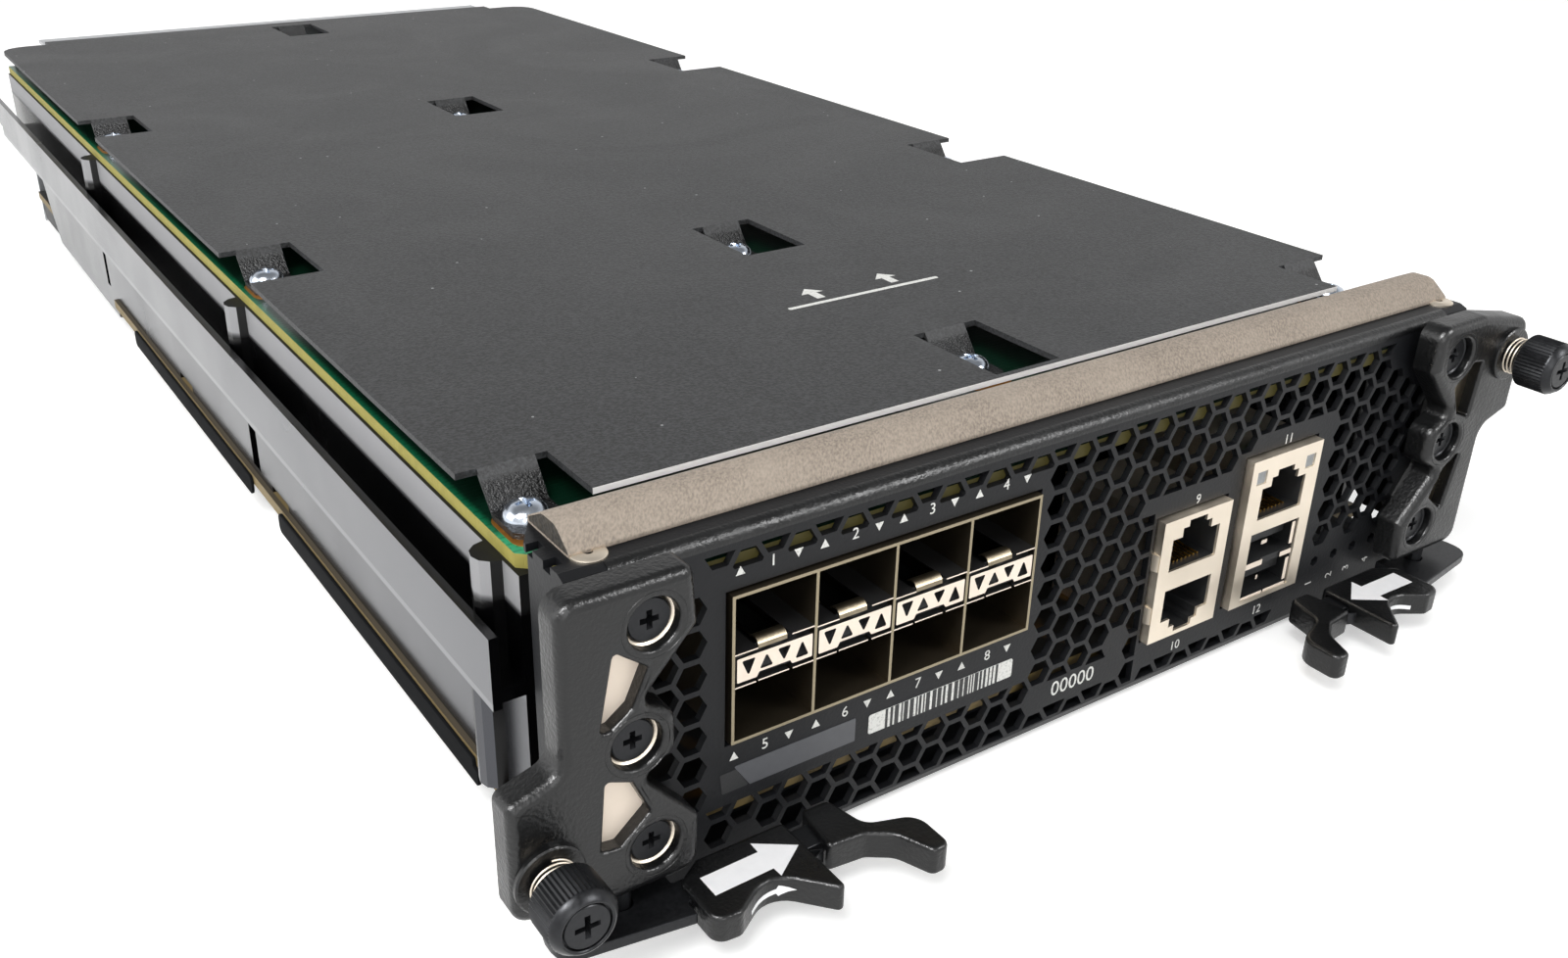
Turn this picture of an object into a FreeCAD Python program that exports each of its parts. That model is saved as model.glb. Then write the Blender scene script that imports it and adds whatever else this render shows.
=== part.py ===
import FreeCAD, Part
import math
import os

os.makedirs("parts", exist_ok=True)

V = FreeCAD.Vector

# All sizes in millimetres.
# X runs to the right seen from the front, Y runs to the rear, Z runs up.
# While modelling, Y is measured from the panel's front face and Z from its lower edge.

# Rounds are drawn as chords of this many radians, so that the whole part stays light
chord = math.pi / 4
fine_chord = math.pi / 9

# Whole object
front_reach = 20.8          # lever tips in front of the panel
rear_reach = 424.0          # backplane connectors behind the panel
frame_y = -(rear_reach - front_reach) / 2.0

# Front panel
panel_left, panel_right = -94.0, 97.0
panel_height = 57.5
sheet = 1.2
fold_r = 2.0
top_flange_rear = 17.0
bottom_flange_rear = 14.0
side_flange_out = 94.0
left_flange_rear, right_flange_rear = 10.6, 14.0
side_flange_low = 12.0
corner_relief_x = 88.8      # lower corners are relieved for the lever tails
corner_relief_z = 9.0

# Honeycomb grille
hex_flats = 4.35            # opening across flats
hex_column = 9.02           # spacing of columns of one kind
hex_row = 5.23
even_x, even_z = -8.0, 2.2  # first opening of the even columns
odd_x, odd_z = -3.47, 4.8   # first opening of the odd columns
grille_low, grille_high = 2.3, 54.4

# Cut-outs in the panel: left, right, low, high
cage_cut = (-70.2, -12.0, 22.7, 48.2)
twin_cut = (16.2, 34.2, 10.1, 34.9)
combo_cut = (37.4, 57.2, 10.1, 40.8)
lamp_spots = [63.8, 69.6, 75.4, 81.2]
lamp_z, lamp_hole_r = 12.2, 1.1

# Boards and covers
main_low, main_top = 8.0, 10.4
upper_low, upper_top = 50.8, 53.0
cover_low, cover_top = 58.2, 59.2
cover_half = 94.8
cover_front, cover_rear = 17.6, 407.7
board_rear = 404.0
floor_low, floor_top = 2.4, 3.4
rear_skirt = 277.0          # from here on the rails reach down past the main board

# Tabs of the top cover
tab_width, tab_run, tab_slope = 9.0, 13.5, 4.0
middle_tabs = [40.0, 113.2, 257.4, 400.2]      # rear edge of each middle window
edge_tabs = [31.5, 147.6, 280.6]               # rear edge of each side notch
window_long = 21.2
window_left, window_right = -5.8, 8.4
notch_inner = 80.6

# Rails
web_out, web_in = 93.6, 92.0
lip_out, lip_in = 98.6, 97.2
shelf_low, shelf_top = 31.8, 33.8
lip_low, lip_top = 30.8, 42.5
rail_front, rail_rear = 14.6, 403.6
lip_rear = 408.0
boss_r = 3.2

# Rear plate, its plugs and its guide sockets
rear_y = 405.0
plug_low, plug_top = main_top, 30.4
plug_spots = [(-62.0, -38.0), (-30.0, -6.0), (14.0, 38.0)]
power_spot = (52.0, 76.0)
guide_spots = [-77.0, 84.0]
guide_z, guide_r = 18.2, 3.6

# Brackets
bracket_front, bracket_back = -7.0, -2.2
bracket_low, bracket_high = 10.2, 58.6
turn_z = 34.3               # the right bracket is the left one turned about this height
well_r, well_floor = 4.0, -3.4
ear_x, ear_z = -101.5, 19.2  # thumbscrew axis in the left ear
ear_hole_r = 2.6
well_spots = [(-85.2, 51.9), (-88.0, 34.5), (-85.5, 16.9)]

# Thumbscrews
knob_r, knob_root = 5.0, 4.72
knob_teeth = 20
knob_front, knob_back = -17.7, -10.6
shank_r, shank_end = 2.15, -0.9
thread_r, thread_tip = 1.95, 6.0
ferrule_r, ferrule_front = 5.25, -7.8
clip_front, clip_back = -1.9, -1.2
clip_fit = 0.05

# Levers, with distances in front of the panel for the bar's edges
pivot_x, pivot_y = 90.0, -4.5
pin_r, pin_fit = 1.5, 0.25
bar_low, bar_top = 5.6, 7.4
slide_back, slide_front = 5.0, 9.5
grip_low, grip_top = 4.1, 8.6
hook_low = 3.8
slide_gap = 0.3

# Transceiver cage
cage_left, cage_right = -69.6, -12.6
cage_low, cage_top = 23.2, 47.7
cage_front, cage_rear = -0.8, 46.0
cage_wall = 0.5
cage_columns = 4
strip_low, strip_top = 32.6, 38.0

# Jacks
twin_left, twin_right, twin_top = 16.7, 33.7, 34.4
combo_left, combo_right, combo_top = 37.9, 56.7, 40.3
jack_front = -1.5
twin_rear, combo_rear = 22.0, 26.0
shell = 0.5
twin_x = (twin_left + twin_right) / 2
combo_x = (combo_left + combo_right) / 2
twin_up, twin_down, combo_up = 24.2, 20.4, 28.0     # flat side of each network port


def save(node, shape):
    moved = shape.copy()
    moved.translate(V(0, frame_y, 0))
    moved.exportStep("parts/" + node + ".step")


def box(x0, x1, y0, y1, z0, z1):
    return Part.makeBox(x1 - x0, y1 - y0, z1 - z0, V(x0, y0, z0))


def group(shapes):
    return Part.makeCompound(shapes)


def soft(points):
    # Corner points (u, v, radius) become short chords of their round; the rest stay sharp.
    result = []
    count = len(points)
    for i in range(count):
        here = V(points[i][0], points[i][1], 0)
        radius = points[i][2] if len(points[i]) > 2 else 0
        if radius == 0:
            result.append((here.x, here.y))
            continue
        before = V(points[i - 1][0], points[i - 1][1], 0) - here
        after = V(points[(i + 1) % count][0], points[(i + 1) % count][1], 0) - here
        before.normalize()
        after.normalize()
        half = before.getAngle(after) / 2.0
        middle = before + after
        middle.normalize()
        centre = here + middle * (radius / math.sin(half))
        start = here + before * (radius / math.tan(half)) - centre
        end = here + after * (radius / math.tan(half)) - centre
        sweep = math.pi - 2 * half
        chords = max(1, round(sweep / (fine_chord if radius > 3.5 else chord)))
        side = 1 if start.cross(end).z > 0 else -1
        for k in range(chords + 1):
            angle = side * sweep * k / chords
            u = start.x * math.cos(angle) - start.y * math.sin(angle)
            v = start.x * math.sin(angle) + start.y * math.cos(angle)
            result.append((centre.x + u, centre.y + v))
    return result


def prism(points, holes, place, along):
    wires = []
    for run in [points] + list(holes):
        corners = [place(*p) for p in soft(run)]
        wires.append(Part.makePolygon(corners + corners[:1]))
    return Part.makeFace(wires, "Part::FaceMakerBullseye").extrude(along)


def prism_xz(points, y0, y1, holes=()):
    return prism(points, holes, lambda u, v: V(u, y0, v), V(0, y1 - y0, 0))


def prism_xy(points, z0, z1, holes=()):
    return prism(points, holes, lambda u, v: V(u, v, z0), V(0, 0, z1 - z0))


def prism_yz(points, x0, x1, holes=()):
    return prism(points, holes, lambda u, v: V(x0, u, v), V(x1 - x0, 0, 0))


def round_of(u, v, r, sides):
    # Even-sided round about (u, v), its corners on the radius.
    turn = 2 * math.pi / sides
    return [(u + r * math.cos(turn * (k + 0.5)), v + r * math.sin(turn * (k + 0.5))) for k in range(sides)]


def rect(x0, x1, z0, z1):
    return [(x0, z0), (x1, z0), (x1, z1), (x0, z1)]


def mirrored(shape):
    return shape.mirror(V(0, 0, 0), V(1, 0, 0))


def half_turn(shape):
    turned = shape.copy()
    turned.rotate(V(0, 0, turn_z), V(0, 1, 0), 180)
    return turned


def rod_y(x, z, r, y0, y1, sides):
    return prism_xz(round_of(x, z, r, sides), y0, y1)


def rod_z(x, y, r, z0, z1, sides):
    return prism_xy(round_of(x, y, r, sides), z0, z1)


# Honeycomb grille: every opening is a flat-topped hexagon, trimmed where a label or an edge is near

def trim(points, axis, limit, keep_above):
    kept = []
    for i in range(len(points)):
        a = points[i]
        b = points[(i + 1) % len(points)]
        a_in = (a[axis] >= limit) == keep_above
        b_in = (b[axis] >= limit) == keep_above
        if a_in:
            kept.append(a)
        if a_in != b_in:
            t = (limit - a[axis]) / (b[axis] - a[axis])
            kept.append((a[0] + t * (b[0] - a[0]), a[1] + t * (b[1] - a[1])))
    return kept


def hexagon(x, z):
    r = hex_flats / math.sqrt(3.0)
    return [(x + r * math.cos(math.pi / 3 * k), z + r * math.sin(math.pi / 3 * k)) for k in range(6)]


def column(kind, number, low, high, right=None):
    # Openings of one column, trimmed to the height from low to high.
    x0, z0 = (even_x, even_z) if kind == "even" else (odd_x, odd_z)
    openings = []
    for row in range(12):
        points = hexagon(x0 + hex_column * number, z0 + hex_row * row)
        points = trim(trim(points, 1, low, True), 1, high, False)
        if right is not None:
            points = trim(points, 0, right, False)
        if len(points) < 3:
            continue
        heights = [p[1] for p in points]
        if max(heights) - min(heights) > 1.2:
            openings.append(points)
    return openings


def grille():
    openings = []
    # Beside the left bracket
    openings += column("even", -8, 20.8, 46.5)
    openings += column("odd", -8, 13.0, 49.0)
    # Above and below the transceiver cage
    for k in range(-7, 0):
        openings += column("even", k, 52.0, grille_high)
        openings += column("even", k, grille_low if k > -5 else 5.0, 12.2)
        openings += column("odd", k, 51.4, grille_high)
        openings += column("odd", k, grille_low if k > -7 else 7.0, 12.3)
    # Between the cage and the twin jack, with a bare patch low in the middle
    openings += column("even", 0, grille_low, 4.5)
    openings += column("even", 0, 10.2, grille_high)
    for k in (0, 1):
        openings += column("odd", k, grille_low, 5.0)
        openings += column("odd", k, 10.2, grille_high)
    openings += column("even", 1, grille_low, 4.5)
    openings += column("even", 1, 10.2, grille_high)
    openings += column("even", 2, grille_low, 4.5)
    openings += column("even", 2, 15.4, grille_high)
    openings += column("odd", 2, grille_low, 36.0, 15.5)
    openings += column("odd", 2, 38.6, grille_high)
    # Above and below the twin jack
    for k in (3, 4):
        openings += column("even", k, grille_low, 4.5)
        openings += column("even", k, 39.1, grille_high)
        openings += column("odd", k, grille_low, 5.0)
        openings += column("odd", k, 39.1, grille_high)
    # Above and below the combined jack
    openings += column("even", 5, 41.6, grille_high)
    for k in (6, 7):
        openings += column("even", k, 44.4, grille_high)
    for k in (5, 6, 7):
        openings += column("odd", k, 44.4, grille_high)
    for k in (5, 6):
        openings += column("even", k, grille_low, 4.5)
        openings += column("odd", k, grille_low, 5.0)
    # Right of the combined jack, up to and behind the right bracket
    openings += column("even", 8, 15.6, grille_high)
    openings += column("odd", 8, 18.2, grille_high)
    openings += column("even", 9, 15.6, grille_high)
    openings += column("odd", 9, 18.2, 49.0)
    openings += column("even", 10, 15.6, 46.5)
    openings += column("odd", 10, 28.0, 44.0)
    return openings


def side_flange(rear):
    side = [(sheet, side_flange_low), (rear - 4, side_flange_low), (rear, side_flange_low + 4),
            (rear, panel_height - sheet), (sheet, panel_height - sheet)]
    return prism_yz(side, side_flange_out - sheet, side_flange_out)


def front_panel():
    low, high = fold_r, panel_height - fold_r
    edge = [(panel_left, corner_relief_z), (-corner_relief_x, corner_relief_z), (-corner_relief_x, low),
            (corner_relief_x, low), (corner_relief_x, corner_relief_z), (panel_right, corner_relief_z),
            (panel_right, high), (panel_left, high)]
    holes = grille() + [rect(*cage_cut), rect(*twin_cut), rect(*combo_cut)]
    holes += [round_of(x, lamp_z, lamp_hole_r, 6) for x in lamp_spots]
    plate = prism_xz(edge, 0, sheet, holes)
    inner = fold_r - sheet
    top = prism_yz([(0, high), (0, panel_height, fold_r), (top_flange_rear, panel_height),
                    (top_flange_rear, panel_height - sheet), (sheet, panel_height - sheet, inner),
                    (sheet, high)], panel_left, panel_right)
    for x in (panel_left, panel_right - 1.8):
        for y in (4.0, 9.0):
            top = top.cut(box(x, x + 1.8, y, y + 2.0, panel_height - 2, panel_height + 1))
    corner = [(panel_left - 1, 11.6), (panel_left, 11.6), (panel_left + 3.4, top_flange_rear),
              (panel_left + 3.4, top_flange_rear + 1), (panel_left - 1, top_flange_rear + 1)]
    top = top.cut(prism_xy(corner, panel_height - 2, panel_height + 1))
    bottom = prism_yz([(0, low), (sheet, low), (sheet, sheet, inner), (bottom_flange_rear, sheet),
                       (bottom_flange_rear, 0), (0, 0, fold_r)], -corner_relief_x, corner_relief_x)
    panel = plate.fuse([top, bottom])
    right = side_flange(right_flange_rear)
    left = mirrored(side_flange(left_flange_rear))
    panel = panel.fuse([left, right])
    return panel.removeSplitter()


def shielding_gasket():
    return prism_yz([(4.6, panel_height), (16.5, panel_height), (16.5, 58.7, 0.5), (12.0, 61.1, 3.0),
                     (8.0, 61.1, 3.0), (4.6, 58.4, 0.5)], -91.0, 96.0)


# Top cover with ten tabs pressed down onto the upper board

def cover_tab(x, rear):
    foot = upper_top
    knee = rear - tab_slope
    side = [(rear, cover_low), (rear, cover_top), (knee, foot + 1.0), (rear - tab_run, foot + 1.0),
            (rear - tab_run, foot), (knee - 0.6, foot)]
    tongue = prism_yz(side, x - tab_width / 2, x + tab_width / 2)
    half = tab_width / 2
    plan = [(x - half, rear + 1), (x + half, rear + 1), (x + half, rear - tab_run + 2.6),
            (x + half - 2.6, rear - tab_run), (x - half + 2.6, rear - tab_run),
            (x - half, rear - tab_run + 2.6)]
    return tongue.common(prism_xy(plan, foot - 1, cover_top + 1))


def top_cover():
    left_edge = []
    for rear in edge_tabs[1:]:
        left_edge += [(-cover_half, rear - window_long), (-notch_inner, rear - window_long),
                      (-notch_inner, rear), (-cover_half, rear)]
    first = edge_tabs[0]
    left_edge = [(-notch_inner, cover_front), (-notch_inner, first), (-cover_half, first)] + left_edge
    corner = [(-cover_half, cover_rear - 5.5, 8.0), (-80.0, cover_rear - 5.5), (-80.0, cover_rear)]
    left = left_edge + corner
    right = [(-p[0],) + tuple(p[1:]) for p in left]
    right.reverse()
    holes = [rect(window_left, window_right, rear - window_long, rear) for rear in middle_tabs]
    sheet_solid = prism_xy(left + right, cover_low, cover_top, holes)
    middle = (window_left + window_right) / 2
    tabs = [cover_tab(middle, rear) for rear in middle_tabs]
    for rear in edge_tabs:
        tabs.append(cover_tab(-87.0, rear))
        tabs.append(cover_tab(87.0, rear))
    return sheet_solid.fuse(tabs).removeSplitter()


# Boards

def upper_board():
    left = [(-87.0, sheet), (-87.0, 11.5), (-93.0, 17.0), (-93.0, board_rear)]
    right = [(-x, y) for x, y in reversed(left)]
    return prism_xy(left + right, upper_low, upper_top)


def main_board():
    left = [(-86.0, 3.0), (-86.0, 12.0), (-94.6, 12.0), (-94.6, rear_skirt - 1.0),
            (-91.6, rear_skirt - 1.0), (-91.6, board_rear)]
    right = [(-x, y) for x, y in reversed(left)]
    return prism_xy(left + right, main_low, main_top)


# Rails

def left_rail():
    low = main_top
    web = [(rail_front, low), (126.0, low), (126.0, 12.0), (136.5, 12.0), (136.5, low), (198.0, low),
           (198.0, 12.0), (209.0, 12.0), (209.0, low), (rear_skirt, low), (rear_skirt, 4.6),
           (358.0, 4.6), (368.0, 14.4), (372.0, 19.4), (380.0, 28.0), (380.0, shelf_low),
           (rail_rear, shelf_low), (rail_rear, upper_low), (rail_front, upper_low)]
    slots = [rect(144.0, 149.0, 12.0, 21.4), rect(283.0, 286.5, 12.0, 21.4)]
    rail = prism_yz(web, -web_out, -web_in, slots)
    ledge = prism_xz([(-web_out, shelf_low), (-web_out, shelf_top), (-lip_in, shelf_top),
                      (-lip_in, lip_top), (-lip_out, lip_top), (-lip_out, lip_low), (-lip_in, lip_low),
                      (-lip_in, shelf_low)], rail_front, rail_rear)
    ledge = ledge.fuse(box(-lip_out, -lip_in, rail_rear, lip_rear, lip_low + 3, lip_top))
    bosses = []
    for y, low_z, high_z in ((26.0, main_top, shelf_low), (23.0, shelf_top, upper_low),
                             (141.0, shelf_top, upper_low), (274.0, shelf_top, upper_low)):
        half_round = []
        for k in range(7):
            angle = math.pi / 2 + math.pi * k / 6
            half_round.append((-web_out + boss_r * math.cos(angle), y + boss_r * math.sin(angle)))
        bosses.append(prism_xy(half_round, low_z, high_z))
    return rail.fuse([ledge] + bosses).removeSplitter()


def bottom_cover():
    plan = [(-86.0, 8.0), (86.0, 8.0), (86.0, 26.0), (90.4, 26.0), (90.4, board_rear), (-90.4, board_rear),
            (-90.4, 26.0), (-86.0, 26.0)]
    plate = prism_xy(plan, floor_low, floor_top)
    walls = []
    for y0, y1 in ((32.0, 130.0), (150.0, 398.0)):
        side = [(y0, floor_low), (y1, floor_low), (y1, main_low - 2.5), (y1 - 2.5, main_low),
                (y0 + 2.5, main_low), (y0, main_low - 2.5)]
        wall = prism_yz(side, -91.4, -90.4)
        walls += [wall, mirrored(wall)]
    return plate.fuse(walls).removeSplitter()


# Rear plate and connectors

def rear_plate():
    slots = [rect(x0 - 0.6, x1 + 0.6, plug_low - 0.4, plug_top + 0.6) for x0, x1 in plug_spots]
    slots.append(rect(power_spot[0] - 0.6, power_spot[1] + 0.6, plug_low - 0.4, plug_top + 0.6))
    slots += [rect(x - 6.0, x + 6.0, plug_low - 0.4, 26.6) for x in guide_spots]
    plate = prism_xz(rect(-91.0, 91.0, 0, 57.0), rear_y - 1.0, rear_y, slots)
    lip = box(-80.0, 80.0, rear_y - 1.0, 420.0, 57.0, 58.0)
    return plate.fuse(lip).removeSplitter()


def backplane_connectors():
    plugs = []
    for x0, x1 in plug_spots:
        plug = box(x0, x1, 396.0, rear_reach, plug_low, plug_top)
        plugs.append(plug.cut(box(x0 + 1.5, x1 - 1.5, rear_reach - 6.0, rear_reach + 1, plug_low + 2.0,
                                  plug_top - 2.0)))
    return group(plugs)


def power_connector():
    x0, x1 = power_spot
    plug = box(x0, x1, 396.0, rear_reach - 2.0, plug_low, plug_top)
    for k in range(3):
        left = x0 + 2.0 + 7.2 * k
        plug = plug.cut(box(left, left + 5.6, rear_reach - 12.0, rear_reach, plug_low + 3.0, plug_top - 3.0))
    return plug


def guide_sockets():
    sockets = []
    for x in guide_spots:
        block = box(x - 5.4, x + 5.4, 394.0, 418.0, plug_low, 26.0)
        sockets.append(block.cut(rod_y(x, guide_z, guide_r, 400.0, 419.0, 8)))
    return group(sockets)


# Inside

def fin_stack(x0, x1, y0, y1, base, top, fins, wide):
    points = [(x0, main_top + 2.0), (x1, main_top + 2.0), (x1, main_top + 2.0 + base)]
    gap = (x1 - x0 - wide) / (fins - 1)
    for k in range(fins - 1, -1, -1):
        left = x0 + gap * k
        if k < fins - 1:
            points.append((left + wide, main_top + 2.0 + base))
        points.append((left + wide, top))
        points.append((left, top))
        if k > 0:
            points.append((left, main_top + 2.0 + base))
    points = [p for i, p in enumerate(points) if p != points[i - 1]]
    return prism_xz(points, y0, y1).fuse(box(x0 + 6, x1 - 6, y0 + 6, y1 - 6, main_top, main_top + 2.0))


def memory_modules():
    return group([box(-70.0 + 9.0 * k, -66.5 + 9.0 * k, 150.0, 283.0, main_top, 42.0) for k in range(3)])


def board_spacers():
    spacers = []
    for x, y in ((-83.0, 60.0), (83.0, 60.0), (-83.0, 370.0), (83.0, 370.0)):
        spacers.append(box(x - 3.0, x + 3.0, y - 3.0, y + 3.0, main_top, upper_low))
    return group(spacers)


# Brackets

def left_bracket():
    edge = [(-98.8, bracket_high, 3.0), (-79.2, bracket_high, 1.5), (-78.5, 49.9, 1.2), (-87.2, 40.4, 1.5),
            (-82.0, 37.6, 2.4), (-82.0, 31.4, 2.4), (-87.2, 28.6, 1.5), (-78.4, 18.9, 1.2),
            (-78.6, bracket_low, 3.0), (-92.0, bracket_low, 3.0), (-106.6, 13.2, 2.5),
            (-106.6, 31.8, 1.5), (-98.8, 34.2, 3.0)]
    upper = [(-91.1, 49.6), (-93.3, 38.2), (-91.6, 38.2), (-88.6, 40.4), (-86.2, 45.8)]
    lower = [(-92.8, 30.4), (-93.7, 19.4), (-90.8, 19.0), (-86.2, 23.0), (-88.9, 28.8)]
    body = prism_xz(edge, bracket_front, bracket_back, [upper, lower])
    rim = [e for e in body.Edges if abs(e.BoundBox.YMax - bracket_front) < 1e-6]
    outer = Part.sortEdges(rim)
    longest = max(outer, key=lambda run: sum(e.Length for e in run))
    body = body.makeChamfer(0.6, longest)
    for x, z in well_spots:
        body = body.cut(rod_y(x, z, well_r, bracket_front - 1, well_floor, 16))
    return body.cut(rod_y(ear_x, ear_z, ear_hole_r, bracket_front - 1, bracket_back + 1, 8))


def left_backing_plate():
    edge = [(-97.4, 12.6), (-85.0, 12.6), (-85.0, 22.0), (-89.2, 27.0), (-88.0, 35.0), (-89.2, 42.0),
            (-85.0, 48.0), (-85.0, 55.6), (-97.4, 55.6)]
    return prism_xz(edge, bracket_back, 0)


# Thumbscrews, modelled on the left axis and turned for the right one

def knurl(x, z):
    points = []
    for k in range(2 * knob_teeth):
        r = knob_r if k % 2 == 0 else knob_root
        angle = math.pi * k / knob_teeth
        points.append((x + r * math.cos(angle), z + r * math.sin(angle)))
    return points


def left_thumbscrew():
    shoulder = knob_front + 1.2
    grip = prism_xz(knurl(ear_x, ear_z), shoulder, knob_back)
    nose = rod_y(ear_x, ear_z, knob_root, knob_front, shoulder, 16)
    rim = [e for e in nose.Edges if abs(e.BoundBox.YMax - knob_front) < 1e-6]
    nose = nose.makeChamfer(0.8, rim)
    shank = rod_y(ear_x, ear_z, shank_r, knob_back, shank_end, 8)
    thread = Part.makeCylinder(thread_r, thread_tip - shank_end, V(ear_x, shank_end, ear_z), V(0, 1, 0))
    return grip.fuse([nose, shank, thread]).removeSplitter()


def screw_ferrules():
    ring = prism_xz(round_of(ear_x, ear_z, ferrule_r, 16), ferrule_front, bracket_front,
                    [round_of(ear_x, ear_z, ear_hole_r, 8)])
    return group([ring, half_turn(ring)])


def coil(radius, wire, length, turns, steps):
    # Square-wire coil along Y from zero, each turn made of straight steps.
    sections = []
    total = int(turns * steps)
    rise = (length - wire) / total
    for k in range(total + 1):
        angle = 2 * math.pi * k / steps
        y = rise * k
        corners = []
        for r, h in ((-1, 0), (1, 0), (1, 1), (-1, 1)):
            reach = radius + r * wire / 2
            corners.append(V(reach * math.cos(angle), y + h * wire, reach * math.sin(angle)))
        sections.append(corners)
    faces = []

    def triangle(a, b, c):
        faces.append(Part.Face(Part.makePolygon([a, b, c, a])))

    for here, ahead in zip(sections, sections[1:]):
        for i in range(4):
            j = (i + 1) % 4
            triangle(here[i], here[j], ahead[j])
            triangle(here[i], ahead[j], ahead[i])
    for end in (sections[0], sections[-1]):
        triangle(end[0], end[1], end[2])
        triangle(end[0], end[2], end[3])
    solid = Part.makeSolid(Part.makeShell(faces))
    if solid.Volume < 0:
        solid.reverse()
    return solid


def left_screw_spring():
    spring = coil(3.3, 0.5, ferrule_front - knob_back, 2.25, 8)
    spring.translate(V(ear_x, knob_back, ear_z))
    return spring


def left_retaining_clip():
    gap = shank_r + clip_fit
    plan = [(-3.2, -2.0), (-2.0, -3.2), (2.0, -3.2), (3.2, -2.0), (3.2, 2.4), (gap, 3.2), (gap, -gap),
            (-gap, -gap), (-gap, 3.2), (-3.2, 2.4)]
    return prism_xz([(ear_x + u, ear_z + v) for u, v in plan], clip_front, clip_back)


# Levers: u runs from the pivot toward the middle of the panel, v runs forward

def lever_plan(points):
    return [(-pivot_x + p[0], -p[1]) + tuple(p[2:]) for p in points]


def left_lever_bar():
    plan = [(35.0, slide_back), (35.0, slide_front), (7.9, slide_front), (7.9, 12.2), (-5.0, 10.2),
            (-11.6, 9.2, 3.4), (-11.6, 1.6, 3.0), (7.9, 1.6), (7.9, slide_back)]
    return prism_xy(lever_plan(plan), bar_low, bar_top, [round_of(-pivot_x, pivot_y, pin_r + pin_fit, 8)])


def left_lever_grip():
    plan = [(12.6, 3.7), (8.4, 6.4, 1.5), (8.3, 15.8, 2.4), (12.4, 16.2, 1.6), (19.5, 11.7, 8.0),
            (27.6, front_reach), (27.6, 3.7)]
    block = prism_xy(lever_plan(plan), grip_low, grip_top)
    top = [e for e in block.Edges if abs(e.BoundBox.ZMin - grip_top) < 1e-6]
    block = block.makeChamfer(0.5, top)
    slot = box(-pivot_x, -pivot_x + 40, -slide_front - slide_gap, -slide_back + slide_gap,
               bar_low - slide_gap, bar_top + slide_gap)
    return block.cut(slot)


def left_lever_hook():
    plan = [(31.4, 3.2), (36.4, 3.2, 1.0), (37.6, 10.9, 2.5), (45.6, 12.9, 3.6), (45.4, front_reach, 1.9),
            (41.6, front_reach, 1.2), (40.8, 12.5, 4.0), (30.1, 11.8)]
    hook = prism_xy(lever_plan(plan), hook_low, grip_top)
    top = [e for e in hook.Edges if abs(e.BoundBox.ZMin - grip_top) < 1e-6]
    hook = hook.makeChamfer(0.5, top)
    socket = box(-pivot_x + 20, -pivot_x + 35, -slide_front, -slide_back, bar_low, bar_top)
    return hook.cut(socket)


def left_grip_spring():
    strip = [(27.65, 9.95), (27.95, 9.85), (30.22, 10.8), (27.95, 11.75), (27.65, 11.65), (29.6, 10.8)]
    return prism_xy(lever_plan(strip), 5.0, 7.4)


def lever_pins():
    pins = []
    for x, top in ((-pivot_x, bracket_low), (pivot_x, 2 * turn_z - bracket_high)):
        shaft = rod_z(x, pivot_y, pin_r, bar_low - slide_gap, top, 8)
        pins.append(shaft.fuse(rod_z(x, pivot_y, 2.6, bar_low - 1.4, bar_low - slide_gap, 8)))
    return group(pins)


# Transceiver cage: two rows of four ports

def cage_pitch():
    return (cage_right - cage_left) / cage_columns


def transceiver_cage():
    tube = box(cage_left, cage_right, cage_front, cage_rear, cage_low, cage_top)
    inside = box(cage_left + cage_wall, cage_right - cage_wall, cage_front - 1, cage_rear - cage_wall,
                 cage_low + cage_wall, cage_top - cage_wall)
    side = box(cage_left, cage_left + cage_wall, 6.0, 40.0, cage_top, upper_low)
    other = box(cage_right - cage_wall, cage_right, 6.0, 40.0, cage_top, upper_low)
    return tube.cut(inside).fuse([side, other]).removeSplitter()


def cage_dividers():
    walls = []
    for k in range(1, cage_columns):
        x = cage_left + cage_pitch() * k
        walls.append(box(x - 0.25, x + 0.25, cage_front, cage_rear - cage_wall, cage_low + cage_wall,
                         cage_top - cage_wall))
    return group(walls)


def cage_separators():
    pieces = []
    for k in range(cage_columns):
        x0 = cage_left + cage_pitch() * k + (cage_wall if k == 0 else 0.25)
        x1 = cage_left + cage_pitch() * (k + 1) - (cage_wall if k == cage_columns - 1 else 0.25)
        middle = (x0 + x1) / 2
        cuts = []
        for n, up in enumerate((False, True, False, True)):
            centre = middle + (n - 1.5) * 3.0
            low, high = strip_low + 1.1, strip_top - 1.1
            if up:
                cuts.append([(centre - 1.2, low), (centre + 1.2, low), (centre, high)])
            else:
                cuts.append([(centre - 1.2, high), (centre, low), (centre + 1.2, high)])
        front = prism_xz(rect(x0, x1, strip_low, strip_top), cage_front, cage_front + 0.4, cuts)
        leaf = box(x0, x1, cage_front + 0.4, 30.0, strip_top - 0.4, strip_top)
        under = box(x0, x1, cage_front + 0.4, 30.0, strip_low, strip_low + 0.4)
        pieces.append(front.fuse([leaf, under]).removeSplitter())
    return group(pieces)


def cage_latches():
    tongues = []
    for k in range(cage_columns):
        x = cage_left + cage_pitch() * (k + 0.5) - 2.6
        side = [(0.4, strip_top), (1.0, strip_top), (6.0, strip_top + 1.7), (5.8, strip_top + 2.1),
                (0.4, strip_top + 0.4)]
        tongues.append(prism_yz(side, x, x + 4.6))
    return group(tongues)


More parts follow.
